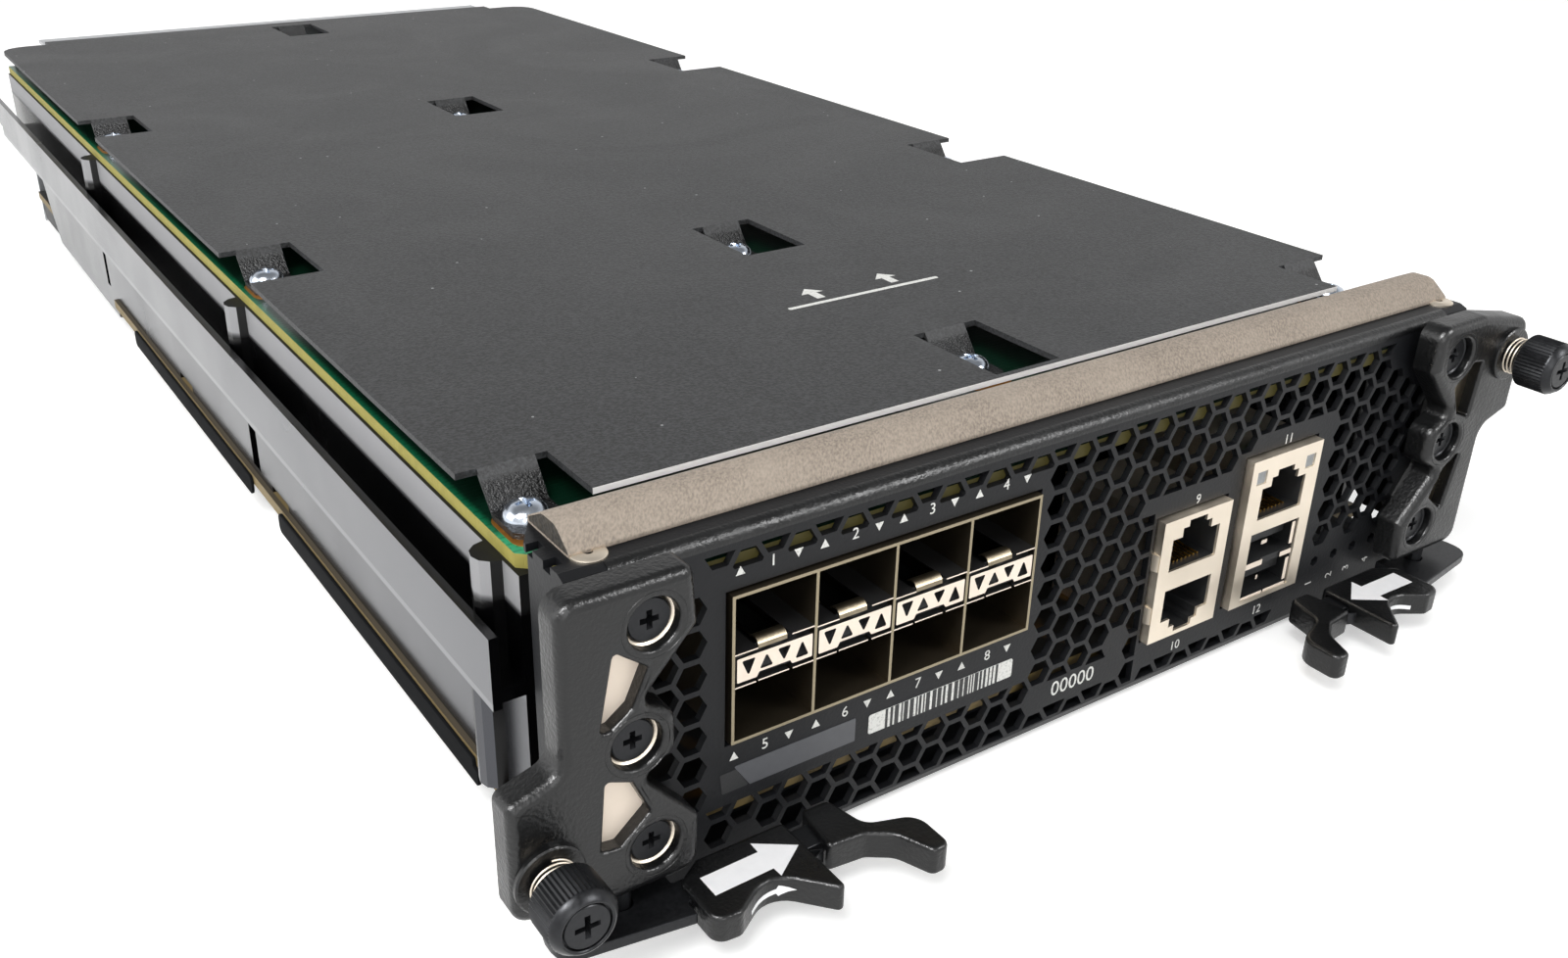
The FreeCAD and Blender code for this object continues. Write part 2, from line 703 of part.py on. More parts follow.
def cage_connectors():
    blocks = []
    for k in range(cage_columns):
        x = cage_left + cage_pitch() * (k + 0.5)
        blocks.append(box(x - 5.5, x + 5.5, 36.0, cage_rear - cage_wall, cage_low + 2.5, cage_top - 2.5))
    return group(blocks)


# Jacks

def port(x, z, up):
    # Stepped network port; z is the flat side, the latch notch points up or down.
    half = [(5.9, 0), (5.9, 6.3), (3.6, 6.3), (3.6, 8.0), (2.2, 8.0), (2.2, 9.2)]
    points = half + [(-u, v) for u, v in reversed(half)]
    sign = 1 if up else -1
    return [(x + u, z + sign * v) for u, v in points]


def shell_box(left, right, rear, top, openings):
    body = box(left, right, jack_front, rear, main_top, top)
    body = body.cut(box(left + shell, right - shell, jack_front + shell, rear + 1, main_top - 1, top - shell))
    for points in openings:
        body = body.cut(prism_xz(points, jack_front - 1, jack_front + shell + 0.2))
    return body


def insert_block(left, right, rear, top, cavities):
    gap = shell + 0.05
    body = box(left + gap, right - gap, jack_front + gap, rear - 0.2, main_top, top - gap)
    for points, depth in cavities:
        body = body.cut(prism_xz(points, jack_front - 1, jack_front + depth))
    return body


twin_ports = [port(twin_x, twin_up, True), port(twin_x, twin_down, False)]
combo_port = port(combo_x, combo_up, True)
data_window = rect(combo_x - 6.6, combo_x + 6.6, 11.4, 25.2)
data_ports = [rect(combo_x - 6.5, combo_x + 6.5, 19.0, 25.0), rect(combo_x - 6.5, combo_x + 6.5, 11.7, 17.7)]


def twin_jack_shield():
    body = shell_box(twin_left, twin_right, twin_rear, twin_top, twin_ports)
    return body.removeSplitter()


def twin_jack_insert():
    return insert_block(twin_left, twin_right, twin_rear, twin_top, [(p, 15.0) for p in twin_ports])


def lamp_windows():
    return [rect(combo_x + s * 6.6 - 1.3, combo_x + s * 6.6 + 1.3, 35.4, 38.0) for s in (-1, 1)]


def combo_jack_shield():
    return shell_box(combo_left, combo_right, combo_rear, combo_top,
                     [combo_port, data_window] + lamp_windows()).removeSplitter()


def combo_jack_insert():
    cavities = [(combo_port, 15.0)] + [(p, 13.0) for p in data_ports]
    cavities += [(p, 2.4) for p in lamp_windows()]
    return insert_block(combo_left, combo_right, combo_rear, combo_top, cavities)


def combo_jack_tongues():
    tongues = []
    for z in (22.0, 14.7):
        tongues.append(box(combo_x - 5.6, combo_x + 5.6, jack_front + 2.2, jack_front + 13.0, z - 0.2, z + 1.6))
    return group(tongues)


def combo_jack_lamps():
    return group([prism_xz(p, jack_front + 0.3, jack_front + 2.4) for p in lamp_windows()])


def contact_carrier(x, z, up):
    # Sloping comb of contact springs, drawn as one wedge for each port.
    sign = 1 if up else -1
    side = [(5.0, z), (5.0, z + sign * 0.4), (12.0, z + sign * 1.4), (12.0, z)]
    return prism_yz(side, x - 4.0, x + 4.0)


def jack_contacts():
    return group([contact_carrier(twin_x, twin_up, True), contact_carrier(twin_x, twin_down, False),
                  contact_carrier(combo_x, combo_up, True)])


def status_lamps():
    return group([box(x - 1.3, x + 1.3, 3.2, 6.4, main_top, 13.8) for x in lamp_spots])


pieces = {
    "front_panel": front_panel,
    "shielding_gasket": shielding_gasket,
    "top_cover": top_cover,
    "upper_board": upper_board,
    "main_board": main_board,
    "left_rail": left_rail,
    "right_rail": lambda: mirrored(left_rail()),
    "bottom_cover": bottom_cover,
    "rear_plate": rear_plate,
    "backplane_connectors": backplane_connectors,
    "power_connector": power_connector,
    "guide_sockets": guide_sockets,
    "processor_heat_sink": lambda: fin_stack(-30.0, 30.0, 210.0, 290.0, 4.0, 44.0, 5, 2.0),
    "switch_heat_sink": lambda: fin_stack(-20.0, 40.0, 80.0, 140.0, 4.0, 44.0, 5, 2.0),
    "memory_modules": memory_modules,
    "board_spacers": board_spacers,
    "left_bracket": left_bracket,
    "right_bracket": lambda: half_turn(left_bracket()),
    "left_backing_plate": left_backing_plate,
    "right_backing_plate": lambda: half_turn(left_backing_plate()),
    "left_thumbscrew": left_thumbscrew,
    "right_thumbscrew": lambda: half_turn(left_thumbscrew()),
    "screw_ferrules": screw_ferrules,
    "left_screw_spring": left_screw_spring,
    "right_screw_spring": lambda: half_turn(left_screw_spring()),
    "left_retaining_clip": left_retaining_clip,
    "right_retaining_clip": lambda: half_turn(left_retaining_clip()),
    "left_lever_bar": left_lever_bar,
    "right_lever_bar": lambda: mirrored(left_lever_bar()),
    "left_lever_grip": left_lever_grip,
    "right_lever_grip": lambda: mirrored(left_lever_grip()),
    "left_lever_hook": left_lever_hook,
    "right_lever_hook": lambda: mirrored(left_lever_hook()),
    "left_grip_spring": left_grip_spring,
    "right_grip_spring": lambda: mirrored(left_grip_spring()),
    "lever_pins": lever_pins,
    "transceiver_cage": transceiver_cage,
    "cage_dividers": cage_dividers,
    "cage_separators": cage_separators,
    "cage_latches": cage_latches,
    "cage_connectors": cage_connectors,
    "twin_jack_shield": twin_jack_shield,
    "twin_jack_insert": twin_jack_insert,
    "combo_jack_shield": combo_jack_shield,
    "combo_jack_insert": combo_jack_insert,
    "combo_jack_tongues": combo_jack_tongues,
    "combo_jack_lamps": combo_jack_lamps,
    "jack_contacts": jack_contacts,
    "status_lamps": status_lamps,
}

for node, make in pieces.items():
    save(node, make())
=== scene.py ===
import math
import random

import bmesh
import bpy
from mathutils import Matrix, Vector
from mathutils.geometry import tessellate_polygon


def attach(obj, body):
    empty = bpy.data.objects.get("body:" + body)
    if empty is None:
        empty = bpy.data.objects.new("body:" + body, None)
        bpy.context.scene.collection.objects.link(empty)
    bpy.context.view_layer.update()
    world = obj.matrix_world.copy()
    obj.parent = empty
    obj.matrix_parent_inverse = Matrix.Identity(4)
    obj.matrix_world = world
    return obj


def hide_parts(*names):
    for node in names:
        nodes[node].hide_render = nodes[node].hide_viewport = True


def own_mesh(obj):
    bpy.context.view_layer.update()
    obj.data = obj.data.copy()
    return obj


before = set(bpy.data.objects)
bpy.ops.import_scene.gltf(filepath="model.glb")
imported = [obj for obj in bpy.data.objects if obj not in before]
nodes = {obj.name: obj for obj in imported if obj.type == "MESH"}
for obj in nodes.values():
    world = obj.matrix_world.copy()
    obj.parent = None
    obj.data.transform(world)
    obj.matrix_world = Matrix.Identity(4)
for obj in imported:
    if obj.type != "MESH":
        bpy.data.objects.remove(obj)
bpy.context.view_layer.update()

panelFace = -201.6  # the panel's front face along y, in mm; all sizes below are in mm from it
print("frame loaded,", len(nodes), "nodes")


# Small helpers

def linear(hexColour):
    shares = [int(hexColour[i:i + 2], 16) / 255 for i in (1, 3, 5)]
    return [c / 12.92 if c <= 0.04045 else ((c + 0.055) / 1.055) ** 2.4 for c in shares] + [1.0]


def addNode(tree, kind, settings=None, links=None):
    node = tree.nodes.new(kind)
    for key, value in (settings or {}).items():
        if isinstance(key, int) or key in node.inputs:
            node.inputs[key].default_value = value
        else:
            setattr(node, key, value)
    for key, source in (links or {}).items():
        tree.links.new(source, node.inputs[key])
    return node


def newFinish(name, settings):
    material = bpy.data.materials.new(name)
    material.use_nodes = True
    tree = material.node_tree
    tree.nodes.clear()
    shader = addNode(tree, "ShaderNodeBsdfPrincipled", settings)
    addNode(tree, "ShaderNodeOutputMaterial", {}, {"Surface": shader.outputs[0]})
    spots = addNode(tree, "ShaderNodeTexCoord")
    return material, tree, shader, spots


def wire(tree, shader, sources):  # the last nodes of a finish, by the socket each one feeds
    for socket, source in sources.items():
        tree.links.new(source, shader.inputs[socket])


def at(x, y, z):
    return Vector((x / 1000, (y + panelFace) / 1000, z / 1000))


def rounded(points, bend=0.0, steps=5):  # corner points, some with a radius, to a smooth closed line
    line = []
    for i, point in enumerate(points):
        here = Vector(point[:2])
        before = Vector(points[i - 1][:2]) - here
        after = Vector(points[(i + 1) % len(points)][:2]) - here
        half = before.angle(after) / 2
        radius = point[2] if len(point) > 2 else bend
        reach = min(radius / math.tan(half), 0.49 * before.length, 0.49 * after.length)
        if reach < 0.03:
            line.append(here)
            continue
        centre = here + (before.normalized() + after.normalized()).normalized() * reach / math.cos(half)
        start = here + before.normalized() * reach - centre
        end = here + after.normalized() * reach - centre
        first = math.atan2(start.y, start.x)
        turn = (math.atan2(end.y, end.x) - first + math.pi) % (2 * math.pi) - math.pi
        for k in range(steps + 1):
            angle = first + turn * k / steps
            line.append(centre + Vector((math.cos(angle), math.sin(angle))) * start.length)
    return line


def ringOf(x, y, radius, steps=32):  # a round hole or disc
    return [Vector((x + radius * math.cos(2 * math.pi * k / steps), y + radius * math.sin(2 * math.pi * k / steps)))
            for k in range(steps)]


def frameOf(x0, x1, y0, y1):
    return [(x0, y0), (x1, y0), (x1, y1), (x0, y1)]


def wound(line, left):  # the same line, wound to the left or to the right
    area = sum(a.x * b.y - b.x * a.y for a, b in zip(line, line[1:] + line[:1]))
    return line if (area > 0) == left else line[::-1]


def shrunk(line, distance):  # a closed line moved inward
    moved = []
    for i, here in enumerate(line):
        a = (here - line[i - 1]).normalized()
        b = (line[(i + 1) % len(line)] - here).normalized()
        side = Vector((-a.y - b.y, a.x + b.x)).normalized()
        moved.append(here + side * distance / max(side.dot(Vector((-a.y, a.x))), 0.4))
    return moved


def block(outer, holes, low, high, toSpace, lowBend=0.0, highBend=0.0, holeBend=0.0, steps=4):
    # a plate or block between two heights, with its rims rounded over
    loops = [wound(list(outer), True)] + [wound(list(h), False) for h in holes]
    levels = []
    for k in range(steps + 1):
        angle = math.pi / 2 * k / steps
        levels.append((1 - math.sin(angle), low, 1 - math.cos(angle), lowBend))
        if not lowBend:
            break
    for k in range(steps + 1):
        angle = math.pi / 2 * k / steps
        if highBend or k == steps:
            levels.append((1 - math.cos(angle), high, math.sin(angle) - 1, highBend))
    verts, faces, caps = [], [], []
    for n, loop in enumerate(loops):
        rows = []
        for share, base, rise, bend in levels:
            own = bend if n == 0 else min(bend, holeBend)
            line = shrunk(loop, own * share) if own * share > 1e-6 else loop
            rows.append(range(len(verts), len(verts) + len(line)))
            verts += [(p.x, p.y, base + rise * own) for p in line]
        for row, ahead in zip(rows, rows[1:]):
            for i in range(len(row)):
                j = (i + 1) % len(row)
                faces.append((row[i], row[j], ahead[j], ahead[i]))
        caps.append((rows[0], rows[-1]))
    for end in (0, 1):
        index = [i for cap in caps for i in cap[end]]
        flat = [[Vector((verts[i][0], verts[i][1], 0)) for i in cap[end]] for cap in caps]
        faces += [tuple(index[i] for i in triangle) for triangle in tessellate_polygon(flat)]
    return [toSpace(*v) for v in verts], faces


def lathe(profile, steps, toSpace, reach=None):  # profile of (radius, height); reach changes a radius by angle
    verts, faces, rows = [], [], []
    for radius, height in profile:
        if radius < 1e-6:
            rows.append([len(verts)])
            verts.append((0, 0, height))
            continue
        rows.append(list(range(len(verts), len(verts) + steps)))
        for k in range(steps):
            angle = 2 * math.pi * k / steps
            r = reach(radius, height, k) if reach else radius
            verts.append((r * math.cos(angle), r * math.sin(angle), height))
    for row, ahead in zip(rows, rows[1:]):
        for k in range(steps):
            j = (k + 1) % steps
            corners = [row[k % len(row)], row[j % len(row)], ahead[j % len(ahead)], ahead[k % len(ahead)]]
            faces.append(tuple(dict.fromkeys(corners)))
    return [toSpace(*v) for v in verts], faces


def tube(path, radius, sides):  # round wire along points in mm
    verts, faces = [], []
    for i, here in enumerate(path):
        along = (path[min(i + 1, len(path) - 1)] - path[max(i - 1, 0)]).normalized()
        side = along.cross(Vector((0, 1, 0)) if abs(along.y) < 0.9 else Vector((1, 0, 0))).normalized()
        up = side.cross(along)
        for k in range(sides):
            angle = 2 * math.pi * k / sides
            verts.append(tuple(here + radius * (side * math.cos(angle) + up * math.sin(angle))))
        if i:
            for k in range(sides):
                j = (k + 1) % sides
                faces.append((i * sides - sides + k, i * sides - sides + j, i * sides + j, i * sides + k))
    faces += [tuple(range(sides)), tuple(range(len(verts) - sides, len(verts)))]
    return verts, faces


def joined(parts):
    verts, faces = [], []
    for partVerts, partFaces in parts:
        faces += [tuple(i + len(verts) for i in f) for f in partFaces]
        verts += list(partVerts)
    return verts, faces


def mirrored(part):
    return [(-x, y, z) for x, y, z in part[0]], part[1]


def halfTurned(part, height=34.3):  # half a turn about the middle of the panel, seen from the front
    return [(-x, y, 2 * height - z) for x, y, z in part[0]], part[1]


def meshOf(name, part):
    mesh = bpy.data.meshes.new(name)
    mesh.from_pydata([at(*v) for v in part[0]], [], part[1])
    work = bmesh.new()
    work.from_mesh(mesh)
    bmesh.ops.recalc_face_normals(work, faces=work.faces)
    work.to_mesh(mesh)
    work.free()
    return mesh


def carved(part, cutters):  # part less the cutters, all closed
    keep = bpy.data.objects.new("blank", meshOf("blank", part))
    tool = bpy.data.objects.new("cutter", meshOf("cutter", joined(cutters)))
    for helper in (keep, tool):
        bpy.context.scene.collection.objects.link(helper)
    cut = keep.modifiers.new("cut", "BOOLEAN")
    cut.operation, cut.solver, cut.object, cut.use_self = "DIFFERENCE", "EXACT", tool, True
    mesh = bpy.data.meshes.new_from_object(keep.evaluated_get(bpy.context.evaluated_depsgraph_get()))
    verts = [(v.co.x * 1000, v.co.y * 1000 - panelFace, v.co.z * 1000) for v in mesh.vertices]
    faces = [tuple(p.vertices) for p in mesh.polygons]
    for helper in (keep, tool):
        bpy.data.objects.remove(helper)
    return verts, faces


def place(name, part, finish, body, sharp=35, weighted=False):
    mesh = meshOf(name, part)
    mesh.materials.append(finish)
    mesh.shade_smooth()
    mesh.set_sharp_from_angle(angle=math.radians(sharp))
    piece = bpy.data.objects.new(name, mesh)
    bpy.context.scene.collection.objects.link(piece)
    if weighted:
        piece.modifiers.new("evenShade", "WEIGHTED_NORMAL").keep_sharp = True
    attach(piece, body)
    return piece


def frontward(x, z):  # a face seen from the front, heights running along y
    return lambda u, v, h: (x + u, h, z + v)


def upward(x, y):  # a face seen from above, heights running along z
    return lambda u, v, h: (x + u, y + v, h)


# Finishes

# Powder-coated steel sheet, sprayed and baked: a fine pebble that breaks the light into grains, with scuffs, pale
# specks that are painted glints, and a cut front edge drawn pure white as bare metal with a painted highlight
coat = {"colour": "#070809", "pale": "#313234", "scuffed": "#454647", "paintedGlints": "#9a9b9c", "edge": "#ffffff",
        "tab": "#0a0a0b", "grain": 0.6, "scuff": 60.0, "glintScatter": 8.0, "speck": 0.034, "tabTop": 57.2, "sheetLow": 58.1,
        "frontEdge": 17.75}
coverCoat, tree, shader, spots = newFinish("powderCoatedSteelCover", {"IOR": 1.5, "Specular IOR Level": 0.45})
fine = addNode(tree, "ShaderNodeTexNoise", {"Scale": 1000 / coat["grain"], "Detail": 3.0, "Roughness": 0.65},
               {"Vector": spots.outputs["Object"]})  # real grit is 0.15 mm, drawn at 0.6 to show
wide = addNode(tree, "ShaderNodeTexNoise", {"Scale": 1000 / coat["scuff"], "Detail": 5.0, "Distortion": 1.8},
               {"Vector": spots.outputs["Object"]})
glintScatter = addNode(tree, "ShaderNodeTexVoronoi", {"Scale": 1000 / coat["glintScatter"]}, {"Vector": spots.outputs["Object"]})
speck = addNode(tree, "ShaderNodeMath", {"operation": "LESS_THAN", 1: coat["speck"]}, {0: glintScatter.outputs["Distance"]})
position = addNode(tree, "ShaderNodeSeparateXYZ", {}, {"Vector": spots.outputs["Object"]})
facing = addNode(tree, "ShaderNodeSeparateXYZ", {}, {"Vector": spots.outputs["Normal"]})
bent = addNode(tree, "ShaderNodeMapRange", {1: coat["tabTop"] / 1000, 2: coat["sheetLow"] / 1000, 3: 1.0, 4: 0.0},
               {0: position.outputs["Z"]})  # 1 on the pressed-down tabs
front = addNode(tree, "ShaderNodeMath", {"operation": "LESS_THAN", 1: at(0, coat["frontEdge"], 0).y},
                {0: position.outputs["Y"]})
cut = addNode(tree, "ShaderNodeMath", {"operation": "LESS_THAN", 1: -0.7}, {0: facing.outputs["Y"]})
bareEdgeHighlight = addNode(tree, "ShaderNodeMath", {"operation": "MULTIPLY"},
               {0: front.outputs[0], 1: cut.outputs[0]})  # the cut front edge, bare metal drawn pure white: partly a painted highlight
tone = addNode(tree, "ShaderNodeMapRange", {1: 0.38, 2: 0.64, 3: 0.0, 4: 1.0}, {0: fine.outputs["Fac"]})
plain = addNode(tree, "ShaderNodeMix", {"data_type": "RGBA", 6: linear(coat["colour"]), 7: linear(coat["pale"])},
                {0: tone.outputs[0]})
shade = addNode(tree, "ShaderNodeMix", {"data_type": "RGBA", 7: linear(coat["tab"])},
                {0: bent.outputs[0], 6: plain.outputs[2]})
rubbed = addNode(tree, "ShaderNodeMapRange", {1: 0.6, 2: 0.76, 3: 0.0, 4: 0.3}, {0: wide.outputs["Fac"]})
scuffed = addNode(tree, "ShaderNodeMix", {"data_type": "RGBA", 7: linear(coat["scuffed"])},
                  {0: rubbed.outputs[0], 6: shade.outputs[2]})
# painted glints: sparse pale specks on the coat
paintedGlints = addNode(tree, "ShaderNodeMix", {"data_type": "RGBA", 7: linear(coat["paintedGlints"])},
                {0: speck.outputs[0], 6: scuffed.outputs[2]})
colour = addNode(tree, "ShaderNodeMix", {"data_type": "RGBA", 7: linear(coat["edge"])},
                 {0: bareEdgeHighlight.outputs[0], 6: paintedGlints.outputs[2]})
smooth = addNode(tree, "ShaderNodeMapRange", {1: 0.3, 2: 0.7, 3: 0.5, 4: 0.56}, {0: wide.outputs["Fac"]})
gloss = addNode(tree, "ShaderNodeMath", {"operation": "MULTIPLY", 1: 0.2}, {0: bent.outputs[0]})
rough = addNode(tree, "ShaderNodeMath", {"operation": "SUBTRACT"}, {0: smooth.outputs[0], 1: gloss.outputs[0]})
pebble = addNode(tree, "ShaderNodeMapRange", {1: 0.0, 2: 1.0, 3: 0.25, 4: 1.0}, {0: bent.outputs[0]})
relief = addNode(tree, "ShaderNodeBump", {"Distance": 0.0005},
                 {"Height": fine.outputs["Fac"], "Strength": pebble.outputs[0]})
wire(tree, shader, {"Base Color": colour.outputs[2], "Roughness": rough.outputs[0], "Normal": relief.outputs[0]})

# Powder-coated steel, smooth black: the panel is darker and flatter than the cover
panelLook = {"colour": "#0f1012", "pale": "#191a1d", "grain": 0.6, "handling": 28.0}
panelCoat, tree, shader, spots = newFinish("powderCoatedSteelPanel", {"IOR": 1.5, "Specular IOR Level": 0.22})
fine = addNode(tree, "ShaderNodeTexNoise", {"Scale": 1000 / panelLook["grain"], "Detail": 2.0},
               {"Vector": spots.outputs["Object"]})
wide = addNode(tree, "ShaderNodeTexNoise", {"Scale": 1000 / panelLook["handling"], "Detail": 5.0},
               {"Vector": spots.outputs["Object"]})
shade = addNode(tree, "ShaderNodeMix", {"data_type": "RGBA", 6: linear(panelLook["colour"]),
                                        7: linear(panelLook["pale"])}, {0: wide.outputs["Fac"]})
rough = addNode(tree, "ShaderNodeMapRange", {1: 0.3, 2: 0.7, 3: 0.36, 4: 0.5}, {0: wide.outputs["Fac"]})
relief = addNode(tree, "ShaderNodeBump", {"Distance": 0.0001, "Strength": 0.4}, {"Height": fine.outputs["Fac"]})
wire(tree, shader, {"Base Color": shade.outputs[2], "Roughness": rough.outputs[0], "Normal": relief.outputs[0]})

# Anodised aluminium, extruded and dyed black: upright faces mirror the pale room in long soft streaks; the split into
# pale upright faces and near-black level faces, the dark trough and the pale web strip are painted light and shade
rail = {"colour": "#646569", "dark": "#595a5e", "flat": "#060607", "worn": "#7b7c7f", "foot": "#4d4e52",
        "web": "#8f8f91", "streak": 0.8, "smudge": 30.0, "lipIn": 97.8, "lipOut": 98.4, "troughLow": 31.7,
        "troughTop": 44.3, "webLow": 45.5, "lipLow": 31.3, "lipLine": 0.6, "footTop": 30.6}
railAnodised, tree, shader, spots = newFinish("blackAnodisedExtrusion", {})
drawn = addNode(tree, "ShaderNodeMapping", {"Scale": (1000 / rail["streak"], 6.0, 1000 / rail["streak"])},
                {"Vector": spots.outputs["Object"]})  # die lines run the whole length
lines = addNode(tree, "ShaderNodeTexNoise", {"Scale": 1.0, "Detail": 3.0}, {"Vector": drawn.outputs[0]})
smudge = addNode(tree, "ShaderNodeTexNoise", {"Scale": 1000 / rail["smudge"], "Detail": 4.0},
                 {"Vector": spots.outputs["Object"]})
facing = addNode(tree, "ShaderNodeSeparateXYZ", {}, {"Vector": spots.outputs["Normal"]})
level = addNode(tree, "ShaderNodeMath", {"operation": "ABSOLUTE"}, {0: facing.outputs["Z"]})
position = addNode(tree, "ShaderNodeSeparateXYZ", {}, {"Vector": spots.outputs["Object"]})
across = addNode(tree, "ShaderNodeMath", {"operation": "ABSOLUTE"}, {0: position.outputs["X"]})
inward = addNode(tree, "ShaderNodeMath", {"operation": "LESS_THAN", 1: rail["lipIn"] / 1000}, {0: across.outputs[0]})
below = addNode(tree, "ShaderNodeMapRange", {1: rail["troughTop"] / 1000, 2: rail["webLow"] / 1000, 3: 1.0, 4: 0.0},
                {0: position.outputs["Z"]})
aloft = addNode(tree, "ShaderNodeMath", {"operation": "SUBTRACT", 0: 1.0}, {1: below.outputs[0]})
web = addNode(tree, "ShaderNodeMath", {"operation": "MULTIPLY"}, {0: inward.outputs[0], 1: aloft.outputs[0]})
above = addNode(tree, "ShaderNodeMath", {"operation": "GREATER_THAN", 1: rail["troughLow"] / 1000},
                {0: position.outputs["Z"]})
trough = addNode(tree, "ShaderNodeMath", {"operation": "MULTIPLY"}, {0: inward.outputs[0], 1: below.outputs[0]})
shaded = addNode(tree, "ShaderNodeMath", {"operation": "MULTIPLY"},
                 {0: trough.outputs[0], 1: above.outputs[0]})  # painted shade: the trough behind the lip is drawn near black
fore = addNode(tree, "ShaderNodeMath", {"operation": "ABSOLUTE"}, {0: facing.outputs["Y"]})
steep = addNode(tree, "ShaderNodeMath", {"operation": "MAXIMUM"}, {0: level.outputs[0], 1: fore.outputs[0]})
turned = addNode(tree, "ShaderNodeMapRange", {1: 0.75, 2: 0.9, 3: 0.0, 4: 1.0}, {0: steep.outputs[0]})
flat = addNode(tree, "ShaderNodeMath", {"operation": "MAXIMUM"}, {0: turned.outputs[0], 1: shaded.outputs[0]})
low = addNode(tree, "ShaderNodeMath", {"operation": "COMPARE", 1: rail["lipLow"] / 1000, 2: rail["lipLine"] / 1000},
              {0: position.outputs["Z"]})
lip = addNode(tree, "ShaderNodeMath", {"operation": "GREATER_THAN", 1: rail["lipOut"] / 1000}, {0: across.outputs[0]})
edge = addNode(tree, "ShaderNodeMath", {"operation": "MULTIPLY"},
               {0: low.outputs[0], 1: lip.outputs[0]})  # the lip's lower edge, drawn as a pale band: a painted highlight
drawnShade = addNode(tree, "ShaderNodeMix", {"data_type": "RGBA", 6: linear(rail["dark"]), 7: linear(rail["colour"])},
                     {0: smudge.outputs["Fac"]})
foot = addNode(tree, "ShaderNodeMath", {"operation": "LESS_THAN", 1: rail["footTop"] / 1000},
               {0: position.outputs["Z"]})
lower = addNode(tree, "ShaderNodeMix", {"data_type": "RGBA", 7: linear(rail["foot"])},
                {0: foot.outputs[0], 6: drawnShade.outputs[2]})
upper = addNode(tree, "ShaderNodeMix", {"data_type": "RGBA", 7: linear(rail["web"])},
                {0: web.outputs[0], 6: lower.outputs[2]})  # painted light: the strip under the upper board is drawn pale where it catches the lamps
shade = addNode(tree, "ShaderNodeMix", {"data_type": "RGBA", 7: linear(rail["worn"])},
                {0: edge.outputs[0], 6: upper.outputs[2]})
# painted reflection and shade: level faces, end faces and the trough are drawn near black, upright faces keep the pale
# metallic grey
colour = addNode(tree, "ShaderNodeMix", {"data_type": "RGBA", 7: linear(rail["flat"])},
                 {0: flat.outputs[0], 6: shade.outputs[2]})
dull = addNode(tree, "ShaderNodeMath", {"operation": "MAXIMUM"}, {0: flat.outputs[0], 1: web.outputs[0]})
sheen = addNode(tree, "ShaderNodeMapRange", {1: 0.0, 2: 1.0, 3: 0.9, 4: 0.4}, {0: dull.outputs[0]})
polish = addNode(tree, "ShaderNodeMapRange", {1: 0.3, 2: 0.7, 3: 0.18, 4: 0.28}, {0: smudge.outputs["Fac"]})
rough = addNode(tree, "ShaderNodeMath", {"operation": "MULTIPLY_ADD", 1: 0.35},
                {0: web.outputs[0], 2: polish.outputs[0]})
relief = addNode(tree, "ShaderNodeBump", {"Distance": 0.00002, "Strength": 0.3}, {"Height": lines.outputs["Fac"]})
wire(tree, shader, {"Base Color": colour.outputs[2], "Roughness": rough.outputs[0],
                    "Metallic": sheen.outputs[0], "Normal": relief.outputs[0]})

# Die-cast zinc, sprayed satin black: a tight orange peel and worn, shinier rims
cast = {"colour": "#070708", "worn": "#0e0f10", "peel": 0.6, "wear": 7.0}
castBlack, tree, shader, spots = newFinish("paintedDieCasting", {"IOR": 1.52, "Specular IOR Level": 0.42})
peel = addNode(tree, "ShaderNodeTexNoise", {"Scale": 1000 / cast["peel"], "Detail": 2.0},
               {"Vector": spots.outputs["Object"]})  # drawn coarser than the real 0.2 mm peel
wear = addNode(tree, "ShaderNodeTexNoise", {"Scale": 1000 / cast["wear"], "Detail": 5.0},
               {"Vector": spots.outputs["Object"]})
shade = addNode(tree, "ShaderNodeMix", {"data_type": "RGBA", 6: linear(cast["colour"]), 7: linear(cast["worn"])},
                {0: wear.outputs["Fac"]})
rough = addNode(tree, "ShaderNodeMapRange", {1: 0.3, 2: 0.7, 3: 0.26, 4: 0.4}, {0: wear.outputs["Fac"]})
relief = addNode(tree, "ShaderNodeBump", {"Distance": 0.0002, "Strength": 0.5}, {"Height": peel.outputs["Fac"]})
wire(tree, shader, {"Base Color": shade.outputs[2], "Roughness": rough.outputs[0], "Normal": relief.outputs[0]})

# Conductive cloth, nickel-coated polyester twill: tan, matt, with a fine uneven diagonal rib and a faint sheen
cloth = {"thread": "#9c8f81", "valley": "#756b60", "pale": "#a69a8c", "rib": 0.3, "run": 0.6, "fade": 16.0}
clothTan, tree, shader, spots = newFinish("wovenConductiveCloth", {"Roughness": 0.8, "Sheen Weight": 0.05,
                                                                   "Sheen Roughness": 0.4, "IOR": 1.5})
slant = addNode(tree, "ShaderNodeMapping", {"Rotation": (0, 0, math.radians(40))},
                {"Vector": spots.outputs["Object"]})
spun = addNode(tree, "ShaderNodeMapping", {"Scale": (1000 / cloth["rib"], 1000 / cloth["run"], 1000 / cloth["run"])},
               {"Vector": slant.outputs[0]})  # threads lie 0.3 mm apart
weave = addNode(tree, "ShaderNodeTexNoise", {"Scale": 1.0, "Detail": 2.0}, {"Vector": spun.outputs[0]})
fade = addNode(tree, "ShaderNodeTexNoise", {"Scale": 1000 / cloth["fade"], "Detail": 3.0},
               {"Vector": spots.outputs["Object"]})
